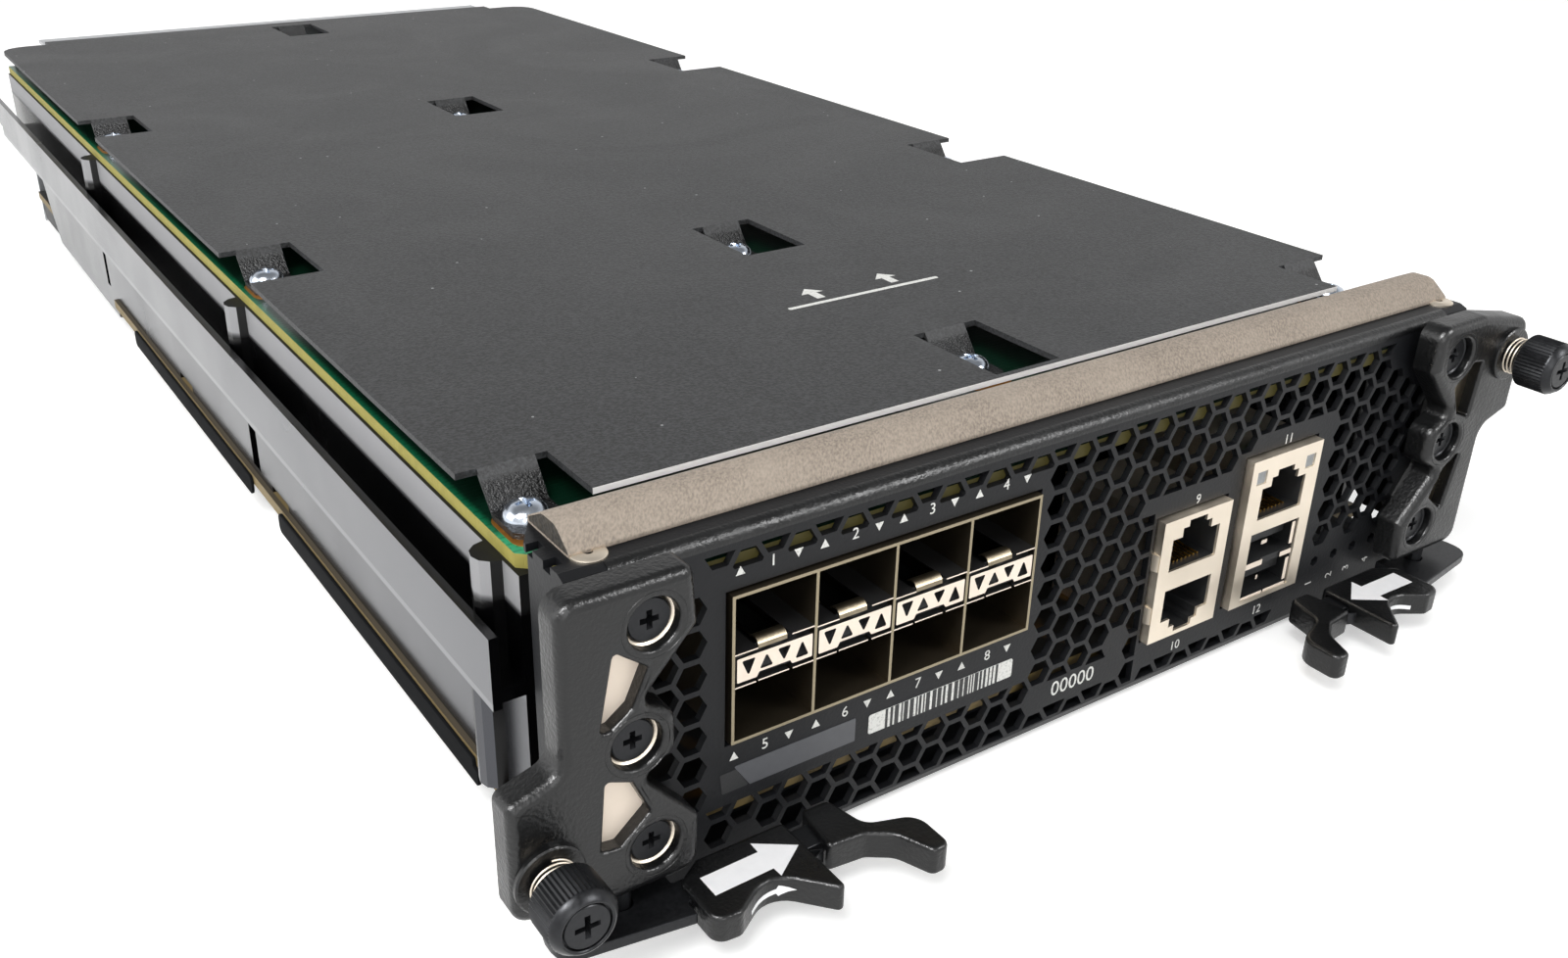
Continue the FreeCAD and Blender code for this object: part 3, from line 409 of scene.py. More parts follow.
deep = addNode(tree, "ShaderNodeMapRange", {1: 0.3, 2: 0.65, 3: 0.0, 4: 1.0}, {0: weave.outputs["Fac"]})
shade = addNode(tree, "ShaderNodeMix", {"data_type": "RGBA", 6: linear(cloth["valley"]),
                                        7: linear(cloth["thread"])}, {0: deep.outputs[0]})
paler = addNode(tree, "ShaderNodeMapRange", {1: 0.4, 2: 0.75, 3: 0.0, 4: 0.5}, {0: fade.outputs["Fac"]})
colour = addNode(tree, "ShaderNodeMix", {"data_type": "RGBA", 7: linear(cloth["pale"])},
                 {0: paler.outputs[0], 6: shade.outputs[2]})
relief = addNode(tree, "ShaderNodeBump", {"Distance": 0.00012, "Strength": 0.5}, {"Height": weave.outputs["Fac"]})
wire(tree, shader, {"Base Color": colour.outputs[2], "Normal": relief.outputs[0]})

# Polyurethane foam, cut with a knife: open cells, grey-brown and dead matt
foam = {"colour": "#3d382f", "cell": "#1b1815", "size": 0.7}
foamGrey, tree, shader, spots = newFinish("cutFoam", {"Roughness": 0.95})
cells = addNode(tree, "ShaderNodeTexVoronoi", {"Scale": 1000 / foam["size"]}, {"Vector": spots.outputs["Object"]})
shade = addNode(tree, "ShaderNodeMix", {"data_type": "RGBA", 6: linear(foam["cell"]), 7: linear(foam["colour"])},
                {0: cells.outputs["Distance"]})
relief = addNode(tree, "ShaderNodeBump", {"Distance": 0.0003, "Strength": 0.8},
                 {"Height": cells.outputs["Distance"]})
wire(tree, shader, {"Base Color": shade.outputs[2], "Normal": relief.outputs[0]})

# Circuit board, green solder mask over glass laminate: satin on top, olive where it was routed; painted shadow darkens
# the top under the cover and painted shade the edge behind the panel
board = {"mask": "#0f7a4c", "maskPale": "#1e9463", "edge": "#a39a4e", "edgeDark": "#877f3c", "inside": "#04150e",
         "noseShade": "#453f18", "track": 1.1, "ply": 1.4, "coverEdge": 91.6, "clear": 94.3, "corner": 84.0, "openTo": 21.1,
         "shutFrom": 24.1, "nose": 3.1}
boardGreen, tree, shader, spots = newFinish("solderMaskBoard", {"IOR": 1.5, "Specular IOR Level": 0.3})
facing = addNode(tree, "ShaderNodeSeparateXYZ", {}, {"Vector": spots.outputs["Normal"]})
position = addNode(tree, "ShaderNodeSeparateXYZ", {}, {"Vector": spots.outputs["Object"]})
upright = addNode(tree, "ShaderNodeMath", {"operation": "ABSOLUTE"}, {0: facing.outputs["Z"]})
flat = addNode(tree, "ShaderNodeMath", {"operation": "GREATER_THAN", 1: 0.6}, {0: upright.outputs[0]})
tracks = addNode(tree, "ShaderNodeTexBrick", {"Scale": 1000 / board["track"] * 0.25, "Mortar Size": 0.08,
                                              "Color1": linear(board["mask"]), "Color2": linear(board["mask"]),
                                              "Mortar": linear(board["maskPale"])},
                 {"Vector": spots.outputs["Object"]})
across = addNode(tree, "ShaderNodeMath", {"operation": "ABSOLUTE"}, {0: position.outputs["X"]})
under = addNode(tree, "ShaderNodeMapRange", {1: board["coverEdge"] / 1000, 2: board["clear"] / 1000, 3: 0.96, 4: 0.0},
                {0: across.outputs[0]})
openFront = addNode(tree, "ShaderNodeMapRange", {1: at(0, board["openTo"], 0).y, 2: at(0, board["shutFrom"], 0).y,
                                                 3: 0.0, 4: 1.0}, {0: position.outputs["Y"]})
middle = addNode(tree, "ShaderNodeMath", {"operation": "LESS_THAN", 1: board["corner"] / 1000},
                 {0: across.outputs[0]})
lid = addNode(tree, "ShaderNodeMath", {"operation": "MAXIMUM"}, {0: openFront.outputs[0], 1: middle.outputs[0]})
dim = addNode(tree, "ShaderNodeMath", {"operation": "MULTIPLY"},
              {0: under.outputs[0], 1: lid.outputs[0]})  # painted shadow: dark under the cover, left bright at its edge and front corners
shadedUnderCover = addNode(tree, "ShaderNodeMix", {"data_type": "RGBA", 7: linear(board["inside"])},
                  {0: dim.outputs[0], 6: tracks.outputs["Color"]})
plies = addNode(tree, "ShaderNodeTexNoise", {"Scale": 1000 / board["ply"], "Detail": 3.0},
                {"Vector": spots.outputs["Object"]})
routed = addNode(tree, "ShaderNodeMix", {"data_type": "RGBA", 6: linear(board["edgeDark"]),
                                         7: linear(board["edge"])}, {0: plies.outputs["Fac"]})
nose = addNode(tree, "ShaderNodeMath", {"operation": "LESS_THAN", 1: at(0, board["nose"], 0).y},
               {0: position.outputs["Y"]})  # painted shade on the edge behind the panel
noseShade = addNode(tree, "ShaderNodeMix", {"data_type": "RGBA", 7: linear(board["noseShade"])},
               {0: nose.outputs[0], 6: routed.outputs[2]})
colour = addNode(tree, "ShaderNodeMix", {"data_type": "RGBA"},
                 {0: flat.outputs[0], 6: noseShade.outputs[2], 7: shadedUnderCover.outputs[2]})
rough = addNode(tree, "ShaderNodeMapRange", {1: 0.0, 2: 1.0, 3: 0.65, 4: 0.32}, {0: flat.outputs[0]})
relief = addNode(tree, "ShaderNodeBump", {"Distance": 0.00004, "Strength": 0.5}, {"Height": tracks.outputs["Fac"]})
wire(tree, shader, {"Base Color": colour.outputs[2], "Roughness": rough.outputs[0], "Normal": relief.outputs[0]})

# Circuit board, bare laminate: tan, layered edge with a dull sheen; its top within the box is drawn nearly black with
# dark brown patches, painted shade
laminate = {"colour": "#86734a", "dark": "#64552f", "inside": "#0c0a06", "patch": "#5a3f16", "ledge": "#453c2c",
            "ply": 0.5, "part": 9.0, "railIn": 91.8, "railOut": 93.55}
boardBrown, tree, shader, spots = newFinish("bareLaminateBoard", {"Roughness": 0.6})
layers = addNode(tree, "ShaderNodeMapping", {"Scale": (40.0, 40.0, 1000 / laminate["ply"])},
                 {"Vector": spots.outputs["Object"]})
plies = addNode(tree, "ShaderNodeTexNoise", {"Scale": 1.0, "Detail": 3.0}, {"Vector": layers.outputs[0]})
shade = addNode(tree, "ShaderNodeMix", {"data_type": "RGBA", 6: linear(laminate["dark"]),
                                        7: linear(laminate["colour"])}, {0: plies.outputs["Fac"]})
parts = addNode(tree, "ShaderNodeTexNoise", {"Scale": 1000 / laminate["part"], "Detail": 1.0},
                {"Vector": spots.outputs["Object"]})
chosen = addNode(tree, "ShaderNodeMapRange", {1: 0.6, 2: 0.66, 3: 0.0, 4: 1.0}, {0: parts.outputs["Fac"]})
inside = addNode(tree, "ShaderNodeMix", {"data_type": "RGBA", 6: linear(laminate["inside"]),
                                         7: linear(laminate["patch"])}, {0: chosen.outputs[0]})
facing = addNode(tree, "ShaderNodeSeparateXYZ", {}, {"Vector": spots.outputs["Normal"]})
level = addNode(tree, "ShaderNodeMath", {"operation": "ABSOLUTE"}, {0: facing.outputs["Z"]})
flat = addNode(tree, "ShaderNodeMath", {"operation": "GREATER_THAN", 1: 0.6}, {0: level.outputs[0]})
position = addNode(tree, "ShaderNodeSeparateXYZ", {}, {"Vector": spots.outputs["Object"]})
across = addNode(tree, "ShaderNodeMath", {"operation": "ABSOLUTE"}, {0: position.outputs["X"]})
within = addNode(tree, "ShaderNodeMath", {"operation": "LESS_THAN", 1: laminate["railIn"] / 1000},
                 {0: across.outputs[0]})
# painted shade: level faces within the rails are drawn nearly black
dark = addNode(tree, "ShaderNodeMath", {"operation": "MULTIPLY"}, {0: flat.outputs[0], 1: within.outputs[0]})
# painted shade: level faces past the rail are drawn dark
outer = addNode(tree, "ShaderNodeMath", {"operation": "GREATER_THAN", 1: laminate["railOut"] / 1000},
                {0: across.outputs[0]})
ledge = addNode(tree, "ShaderNodeMath", {"operation": "MULTIPLY"}, {0: flat.outputs[0], 1: outer.outputs[0]})
brown = addNode(tree, "ShaderNodeMix", {"data_type": "RGBA"},
                {0: dark.outputs[0], 6: shade.outputs[2], 7: inside.outputs[2]})
colour = addNode(tree, "ShaderNodeMix", {"data_type": "RGBA", 7: linear(laminate["ledge"])},
                 {0: ledge.outputs[0], 6: brown.outputs[2]})
relief = addNode(tree, "ShaderNodeBump", {"Distance": 0.0001, "Strength": 0.3}, {"Height": plies.outputs["Fac"]})
wire(tree, shader, {"Base Color": colour.outputs[2], "Normal": relief.outputs[0]})

# Nickel-plated steel strip, rolled and stamped: a soft warm cream shine with faint rolling lines
plating = {"colour": "#e9dfd0", "dull": "#d7cbb9", "roll": 0.5, "cloud": 9.0}
nickel, tree, shader, spots = newFinish("nickelPlatedStrip", {"Metallic": 1.0})
rolled = addNode(tree, "ShaderNodeMapping", {"Scale": (30.0, 30.0, 1000 / plating["roll"])},
                 {"Vector": spots.outputs["Object"]})
lines = addNode(tree, "ShaderNodeTexNoise", {"Scale": 1.0, "Detail": 2.0}, {"Vector": rolled.outputs[0]})
cloud = addNode(tree, "ShaderNodeTexNoise", {"Scale": 1000 / plating["cloud"], "Detail": 4.0},
                {"Vector": spots.outputs["Object"]})
shade = addNode(tree, "ShaderNodeMix", {"data_type": "RGBA", 6: linear(plating["dull"]),
                                        7: linear(plating["colour"])}, {0: cloud.outputs["Fac"]})
rough = addNode(tree, "ShaderNodeMapRange", {1: 0.3, 2: 0.7, 3: 0.36, 4: 0.5}, {0: cloud.outputs["Fac"]})
relief = addNode(tree, "ShaderNodeBump", {"Distance": 0.00001, "Strength": 0.4}, {"Height": lines.outputs["Fac"]})
wire(tree, shader, {"Base Color": shade.outputs[2], "Roughness": rough.outputs[0], "Normal": relief.outputs[0]})

# Tin-plated bronze, stamped: faces turned to the front drawn bright as a painted highlight, the other walls drawn dull
# as painted shade of the dark bay behind them
tinLook = {"edge": "#968c76", "wall": "#62594b", "wallPale": "#7f7462", "cloud": 6.0}
cageTin, tree, shader, spots = newFinish("tinPlatedBronze", {"Metallic": 1.0, "Roughness": 0.38})
facing = addNode(tree, "ShaderNodeSeparateXYZ", {}, {"Vector": spots.outputs["Normal"]})
# painted highlight and shade: front-turned faces bright, other walls darker
frontLit = addNode(tree, "ShaderNodeMath", {"operation": "LESS_THAN", 1: -0.6}, {0: facing.outputs["Y"]})
cloud = addNode(tree, "ShaderNodeTexNoise", {"Scale": 1000 / tinLook["cloud"], "Detail": 4.0},
                {"Vector": spots.outputs["Object"]})
shade = addNode(tree, "ShaderNodeMix", {"data_type": "RGBA", 6: linear(tinLook["wall"]),
                                        7: linear(tinLook["wallPale"])}, {0: cloud.outputs["Fac"]})
colour = addNode(tree, "ShaderNodeMix", {"data_type": "RGBA", 7: linear(tinLook["edge"])},
                 {0: frontLit.outputs[0], 6: shade.outputs[2]})
wire(tree, shader, {"Base Color": colour.outputs[2]})

# Phosphor bronze spring, rolled and bent: greyed bronze with a soft shine
bronzeLook = {"colour": "#9c917d", "deep": "#6b6252", "cloud": 1.5}
bronze, tree, shader, spots = newFinish("bentPhosphorBronze", {"Metallic": 1.0, "Roughness": 0.32})
cloud = addNode(tree, "ShaderNodeTexNoise", {"Scale": 1000 / bronzeLook["cloud"], "Detail": 3.0},
                {"Vector": spots.outputs["Object"]})
shade = addNode(tree, "ShaderNodeMix", {"data_type": "RGBA", 6: linear(bronzeLook["deep"]),
                                        7: linear(bronzeLook["colour"])}, {0: cloud.outputs["Fac"]})
wire(tree, shader, {"Base Color": shade.outputs[2]})

# Zinc-nickel plate, passivated: pale cream and satin to the front; faces not turned to the front drawn near black,
# painted shade
creamLook = {"colour": "#f6e8d9", "dull": "#ebdcca", "edge": "#1a1a1b", "cloud": 8.0}
plateCream, tree, shader, spots = newFinish("passivatedZincNickel", {"Metallic": 0.2, "Roughness": 0.5})
cloud = addNode(tree, "ShaderNodeTexNoise", {"Scale": 1000 / creamLook["cloud"], "Detail": 3.0},
                {"Vector": spots.outputs["Object"]})
shade = addNode(tree, "ShaderNodeMix", {"data_type": "RGBA", 6: linear(creamLook["dull"]),
                                        7: linear(creamLook["colour"])}, {0: cloud.outputs["Fac"]})
facing = addNode(tree, "ShaderNodeSeparateXYZ", {}, {"Vector": spots.outputs["Normal"]})
forward = addNode(tree, "ShaderNodeMath", {"operation": "LESS_THAN", 1: -0.6}, {0: facing.outputs["Y"]})
# painted shade: faces not turned to the front are drawn near black
colour = addNode(tree, "ShaderNodeMix", {"data_type": "RGBA", 6: linear(creamLook["edge"])},
                 {0: forward.outputs[0], 7: shade.outputs[2]})
wire(tree, shader, {"Base Color": colour.outputs[2]})

# Zinc-plated steel, barrel plated: bright with a blue cast and small dull pits
zincLook = {"colour": "#cdd2d9", "blue": "#aab6c6", "pit": 1.6}
zinc, tree, shader, spots = newFinish("zincPlatedSteel", {"Metallic": 1.0})
pits = addNode(tree, "ShaderNodeTexNoise", {"Scale": 1000 / zincLook["pit"], "Detail": 4.0},
               {"Vector": spots.outputs["Object"]})
shade = addNode(tree, "ShaderNodeMix", {"data_type": "RGBA", 6: linear(zincLook["blue"]),
                                        7: linear(zincLook["colour"])}, {0: pits.outputs["Fac"]})
rough = addNode(tree, "ShaderNodeMapRange", {1: 0.3, 2: 0.7, 3: 0.12, 4: 0.28}, {0: pits.outputs["Fac"]})
wire(tree, shader, {"Base Color": shade.outputs[2], "Roughness": rough.outputs[0]})

# Black-oxide steel, turned: dark, oily sheen with turning marks
oxide = {"colour": "#151618", "pale": "#2a2b2e", "mark": 0.6}
blackOxide, tree, shader, spots = newFinish("blackOxideSteel", {"Metallic": 0.6})
marks = addNode(tree, "ShaderNodeTexNoise", {"Scale": 1000 / oxide["mark"], "Detail": 3.0},
                {"Vector": spots.outputs["Object"]})
shade = addNode(tree, "ShaderNodeMix", {"data_type": "RGBA", 6: linear(oxide["colour"]),
                                        7: linear(oxide["pale"])}, {0: marks.outputs["Fac"]})
rough = addNode(tree, "ShaderNodeMapRange", {1: 0.3, 2: 0.7, 3: 0.28, 4: 0.42}, {0: marks.outputs["Fac"]})
wire(tree, shader, {"Base Color": shade.outputs[2], "Roughness": rough.outputs[0]})

# Glass-filled nylon, moulded in a spark-eroded tool: black with a fine even grain
nylon = {"colour": "#101112", "pale": "#1c1d1f", "spark": 0.35}
plasticBlack, tree, shader, spots = newFinish("mouldedNylon", {"IOR": 1.53})
spark = addNode(tree, "ShaderNodeTexNoise", {"Scale": 1000 / nylon["spark"], "Detail": 2.0},
                {"Vector": spots.outputs["Object"]})
shade = addNode(tree, "ShaderNodeMix", {"data_type": "RGBA", 6: linear(nylon["colour"]), 7: linear(nylon["pale"])},
                {0: spark.outputs["Fac"]})
rough = addNode(tree, "ShaderNodeMapRange", {1: 0.3, 2: 0.7, 3: 0.45, 4: 0.6}, {0: spark.outputs["Fac"]})
relief = addNode(tree, "ShaderNodeBump", {"Distance": 0.00004, "Strength": 0.3}, {"Height": spark.outputs["Fac"]})
wire(tree, shader, {"Base Color": shade.outputs[2], "Roughness": rough.outputs[0], "Normal": relief.outputs[0]})

# Rubber, extruded: dead black and matt, with a dusty bloom
rubberLook = {"colour": "#08090a", "bloom": "#131416", "cloud": 5.0}
rubber, tree, shader, spots = newFinish("extrudedRubber", {"Roughness": 0.85, "Specular IOR Level": 0.08})
cloud = addNode(tree, "ShaderNodeTexNoise", {"Scale": 1000 / rubberLook["cloud"], "Detail": 4.0},
                {"Vector": spots.outputs["Object"]})
shade = addNode(tree, "ShaderNodeMix", {"data_type": "RGBA", 6: linear(rubberLook["colour"]),
                                        7: linear(rubberLook["bloom"])}, {0: cloud.outputs["Fac"]})
wire(tree, shader, {"Base Color": shade.outputs[2]})

# Hard gold over copper alloy, electroplated: warm and clear
goldLook = {"colour": "#e0b25a", "deep": "#b98a3a", "cloud": 2.0}
gold, tree, shader, spots = newFinish("hardGoldPlate", {"Metallic": 1.0})
cloud = addNode(tree, "ShaderNodeTexNoise", {"Scale": 1000 / goldLook["cloud"], "Detail": 2.0},
                {"Vector": spots.outputs["Object"]})
shade = addNode(tree, "ShaderNodeMix", {"data_type": "RGBA", 6: linear(goldLook["deep"]),
                                        7: linear(goldLook["colour"])}, {0: cloud.outputs["Fac"]})
rough = addNode(tree, "ShaderNodeMapRange", {1: 0.3, 2: 0.7, 3: 0.2, 4: 0.32}, {0: cloud.outputs["Fac"]})
wire(tree, shader, {"Base Color": shade.outputs[2], "Roughness": rough.outputs[0]})

# Polycarbonate light guide, moulded with diffuser: milky grey when unlit
lens = {"colour": "#8d9193", "deep": "#6d7173", "haze": 0.9}
lensMilky, tree, shader, spots = newFinish("milkyPolycarbonate", {"IOR": 1.58, "Roughness": 0.3,
                                                                  "Coat Weight": 0.4})
haze = addNode(tree, "ShaderNodeTexNoise", {"Scale": 1000 / lens["haze"]}, {"Vector": spots.outputs["Object"]})
shade = addNode(tree, "ShaderNodeMix", {"data_type": "RGBA", 6: linear(lens["deep"]), 7: linear(lens["colour"])},
                {0: haze.outputs["Fac"]})
wire(tree, shader, {"Base Color": shade.outputs[2]})

# Aluminium, extruded or sheared and left bare: pale grey with drawn lines
bareLook = {"colour": "#c3c5c8", "dull": "#9fa1a4", "line": 0.5}
aluminium, tree, shader, spots = newFinish("bareAluminium", {"Metallic": 1.0})
drawn = addNode(tree, "ShaderNodeMapping", {"Scale": (1000 / bareLook["line"], 30.0, 1000 / bareLook["line"])},
                {"Vector": spots.outputs["Object"]})
lines = addNode(tree, "ShaderNodeTexNoise", {"Scale": 1.0, "Detail": 3.0}, {"Vector": drawn.outputs[0]})
shade = addNode(tree, "ShaderNodeMix", {"data_type": "RGBA", 6: linear(bareLook["dull"]),
                                        7: linear(bareLook["colour"])}, {0: lines.outputs["Fac"]})
rough = addNode(tree, "ShaderNodeMapRange", {1: 0.3, 2: 0.7, 3: 0.28, 4: 0.45}, {0: lines.outputs["Fac"]})
wire(tree, shader, {"Base Color": shade.outputs[2], "Roughness": rough.outputs[0]})

# Screen ink, printed and cured: chalky white, a little thin over the grain
inkLook = {"colour": "#dcdcd8", "thin": "#a9a9a6", "grain": 0.4}
ink, tree, shader, spots = newFinish("screenInk", {"Roughness": 0.6})
worn = addNode(tree, "ShaderNodeTexNoise", {"Scale": 1000 / inkLook["grain"], "Detail": 3.0},
               {"Vector": spots.outputs["Object"]})
share = addNode(tree, "ShaderNodeMapRange", {1: 0.25, 2: 0.5, 3: 0.0, 4: 1.0}, {0: worn.outputs["Fac"]})
shade = addNode(tree, "ShaderNodeMix", {"data_type": "RGBA", 6: linear(inkLook["thin"]),
                                        7: linear(inkLook["colour"])}, {0: share.outputs[0]})
wire(tree, shader, {"Base Color": shade.outputs[2]})

# Polyester label, printed: grey, satin, slightly uneven
labelLook = {"colour": "#505155", "shade": "#46474b", "fleck": 1.5}
label, tree, shader, spots = newFinish("printedPolyesterLabel", {"Roughness": 0.45})
fleck = addNode(tree, "ShaderNodeTexNoise", {"Scale": 1000 / labelLook["fleck"], "Detail": 3.0},
                {"Vector": spots.outputs["Object"]})
shade = addNode(tree, "ShaderNodeMix", {"data_type": "RGBA", 6: linear(labelLook["shade"]),
                                        7: linear(labelLook["colour"])}, {0: fleck.outputs["Fac"]})
wire(tree, shader, {"Base Color": shade.outputs[2]})

# Paper label under film: white and smooth, faintly uneven
paperLook = {"colour": "#fafafb", "shade": "#efeff1", "fleck": 1.5}
labelWhite, tree, shader, spots = newFinish("filmedPaperLabel", {"Roughness": 0.4})
fleck = addNode(tree, "ShaderNodeTexNoise", {"Scale": 1000 / paperLook["fleck"], "Detail": 3.0},
                {"Vector": spots.outputs["Object"]})
shade = addNode(tree, "ShaderNodeMix", {"data_type": "RGBA", 6: linear(paperLook["shade"]),
                                        7: linear(paperLook["colour"])}, {0: fleck.outputs["Fac"]})
wire(tree, shader, {"Base Color": shade.outputs[2]})

# Copper pad, etched and left bare: an orange ground around each cover screw
padLook = {"colour": "#c98a3c", "dull": "#9c6526", "cloud": 1.2}
copper, tree, shader, spots = newFinish("barePadCopper", {"Metallic": 0.8, "Roughness": 0.4})
cloud = addNode(tree, "ShaderNodeTexNoise", {"Scale": 1000 / padLook["cloud"], "Detail": 2.0},
                {"Vector": spots.outputs["Object"]})
shade = addNode(tree, "ShaderNodeMix", {"data_type": "RGBA", 6: linear(padLook["dull"]),
                                        7: linear(padLook["colour"])}, {0: cloud.outputs["Fac"]})
wire(tree, shader, {"Base Color": shade.outputs[2]})
print("finishes ready,", len(bpy.data.materials))


# Finishes of the CAD nodes that keep their shape
dressed = {"top_cover": coverCoat, "bottom_cover": panelCoat, "front_panel": panelCoat, "left_rail": railAnodised,
           "right_rail": railAnodised, "upper_board": boardGreen, "main_board": boardBrown,
           "left_backing_plate": plateCream, "right_backing_plate": plateCream, "transceiver_cage": cageTin,
           "cage_dividers": cageTin, "cage_connectors": plasticBlack, "twin_jack_shield": nickel,
           "combo_jack_shield": nickel, "twin_jack_insert": plasticBlack, "combo_jack_insert": plasticBlack,
           "combo_jack_tongues": plasticBlack, "combo_jack_lamps": lensMilky, "status_lamps": lensMilky,
           "rear_plate": aluminium, "backplane_connectors": plasticBlack, "power_connector": plasticBlack,
           "guide_sockets": aluminium, "processor_heat_sink": aluminium, "switch_heat_sink": aluminium,
           "memory_modules": boardGreen, "board_spacers": aluminium, "lever_pins": blackOxide,
           "left_retaining_clip": zinc, "right_retaining_clip": zinc}
softened = {"top_cover": 0.12, "front_panel": 0.16, "left_rail": 0.25, "right_rail": 0.25,
            "left_backing_plate": 0.15, "right_backing_plate": 0.15, "twin_jack_shield": 0.12,
            "combo_jack_shield": 0.12, "bottom_cover": 0.2, "rear_plate": 0.15, "backplane_connectors": 0.3,
            "power_connector": 0.3, "guide_sockets": 0.3}  # rim radius in mm
for name, finish in dressed.items():
    mesh = nodes[name].data
    mesh.materials.clear()
    mesh.materials.append(finish)
for name, rim in softened.items():
    bevel = nodes[name].modifiers.new("rim", "BEVEL")
    bevel.width, bevel.segments, bevel.limit_method = rim / 1000, 2, "ANGLE"
    bevel.angle_limit, bevel.harden_normals = math.radians(40), True
print("nodes dressed,", len(dressed))


# Cross recess for screws: four tapered wings
def crossCutter(toSpace, top, depth, reach=1.75, width=0.42, taper=0.45):
    wing = [(width, width), (width, reach), (-width, reach), (-width, width), (-reach, width), (-reach, -width),
            (-width, -width), (-width, -reach), (width, -reach), (width, -width), (reach, -width), (reach, width)]
    verts = [toSpace(u, v, top) for u, v in wing]
    verts += [toSpace(u * taper, v * taper, top + depth) for u, v in wing]
    count = len(wing)
    faces = [(i, (i + 1) % count, count + (i + 1) % count, count + i) for i in range(count)]
    return verts, faces + [tuple(range(count)), tuple(range(2 * count - 1, count - 1, -1))]


# End brackets: casting, wells with screws in cups, and the backing plate pressed into the windows
bracket = {"edge": [(-98.8, 58.6, 3.0), (-79.2, 58.6, 1.5), (-78.5, 49.9, 1.3), (-87.2, 40.4, 1.6),
                    (-82.0, 37.6, 2.4), (-82.0, 31.4, 2.4), (-87.2, 28.6, 1.6), (-78.4, 18.9, 1.3),
                    (-78.6, 10.2, 3.0), (-92.0, 10.2, 3.0), (-106.6, 13.2, 2.5), (-106.6, 31.8, 1.5),
                    (-98.8, 34.2, 3.0)],
           "windows": [[(-91.1, 49.6), (-93.3, 38.2), (-91.6, 38.2), (-88.6, 40.4), (-86.2, 45.8)],
                       [(-92.8, 30.4), (-93.7, 19.4), (-90.8, 19.0), (-86.2, 23.0), (-88.9, 28.8)]],
           "wells": [(-85.2, 51.9), (-88.0, 34.5), (-85.5, 16.9)], "wellRadius": 3.8, "floor": -3.4,
           "front": -7.0, "back": -2.2, "plate": -4.7, "rim": 1.5, "holeRim": 0.6, "ear": (-101.5, 19.2),
           "earHole": 2.6,
           "lip": [(4.72, -6.98), (4.77, -7.05), (4.85, -7.05), (4.9, -6.98), (4.72, -6.98)],
           "head": [(0, -5.5), (3.0, -5.5), (3.2, -5.35), (3.25, -5.1), (3.25, -3.8), (0, -3.8)],
           "cup": [(3.3, -4.9), (3.45, -5.15), (3.78, -5.35), (3.78, -3.4), (3.3, -3.4), (3.3, -4.9)],
           "recess": (-5.7, 1.5, 1.5, 0.45)}  # profiles of radius and depth; recess of top, depth, reach, width
edge = rounded(bracket["edge"])
windows = [rounded(w, 0.5, 3) for w in bracket["windows"]]
earHole = ringOf(*bracket["ear"], bracket["earHole"])
wells = [ringOf(x, z, bracket["wellRadius"]) for x, z in bracket["wells"]]
faced = lambda u, v, h: (u, -h, v)
casting = [block(edge, windows + [earHole] + wells, -bracket["floor"], -bracket["front"], faced,
                 highBend=bracket["rim"], holeBend=bracket["holeRim"]),
           block(edge, windows + [earHole], -bracket["back"], -bracket["floor"], faced)]
heads, cups = [], []
for x, z in bracket["wells"]:
    seat = frontward(x, z)
    casting.append(lathe(bracket["lip"], 48, seat))
    heads.append(carved(lathe(bracket["head"], 40, seat), [crossCutter(seat, *bracket["recess"])]))
    cups.append(lathe(bracket["cup"], 40, seat))
plates = [block(w, [], -bracket["back"], -bracket["plate"], faced) for w in windows]
casting = joined(casting)
for side, turn in (("left", lambda part: part), ("right", halfTurned)):
    piece = place(side + "BracketCasting", turn(casting), castBlack, "chassis", 40, True)
    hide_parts(side + "_bracket")
    place(side + "BracketScrews", turn(joined(heads)), blackOxide, "chassis")
    # painted shade: the right bracket's cups and window plates are drawn in darker finishes than the left's
    cupFinishOrShade, plateFinishOrShade = (nickel, plateCream) if side == "left" else (blackOxide, bronze)
    place(side + "BracketCups", turn(joined(cups)), cupFinishOrShade, "chassis")
    place(side + "WindowPlates", turn(joined(plates)), plateFinishOrShade, "chassis")
print("brackets done")


# Thumbscrews with knurled knobs, ferrules and coil springs
screw = {"knob": [(0, -17.55), (3.15, -17.55), (3.25, -17.45), (3.25, -17.0), (3.5, -17.0), (3.5, -17.55),
                  (3.62, -17.68), (3.85, -17.7), (4.1, -17.55), (4.75, -16.7), (4.84, -16.45), (5.0, -16.25),
                  (5.0, -11.1), (4.86, -10.95), (4.5, -10.65), (4.2, -10.6), (2.15, -10.6), (2.15, -0.9), (0, -0.9)],
         "grip": 5.0, "teeth": 48, "tooth": 0.22, "recess": (-17.9, 2.0, 2.0, 0.45), "start": -0.9, "end": 5.2,
         "pitch": 0.7, "sides": 24, "coil": 3.35, "wire": 0.18, "turns": 3.25,
         "coilFront": -10.6, "coilBack": -7.8, "coilSteps": 40,
         "core": [(0, -1.2), (1.62, -1.2), (1.62, 5.5), (1.2, 6.0), (0, 6.0)],
         "thread": [(1.6, 0.0), (1.95, 0.26), (1.95, 0.38), (1.6, 0.64)],
         "ferrule": [(2.6, -7.8), (4.85, -7.8), (5.12, -7.6), (5.12, -7.0), (2.6, -7.0), (2.6, -7.8)]}
axis = frontward(*bracket["ear"])
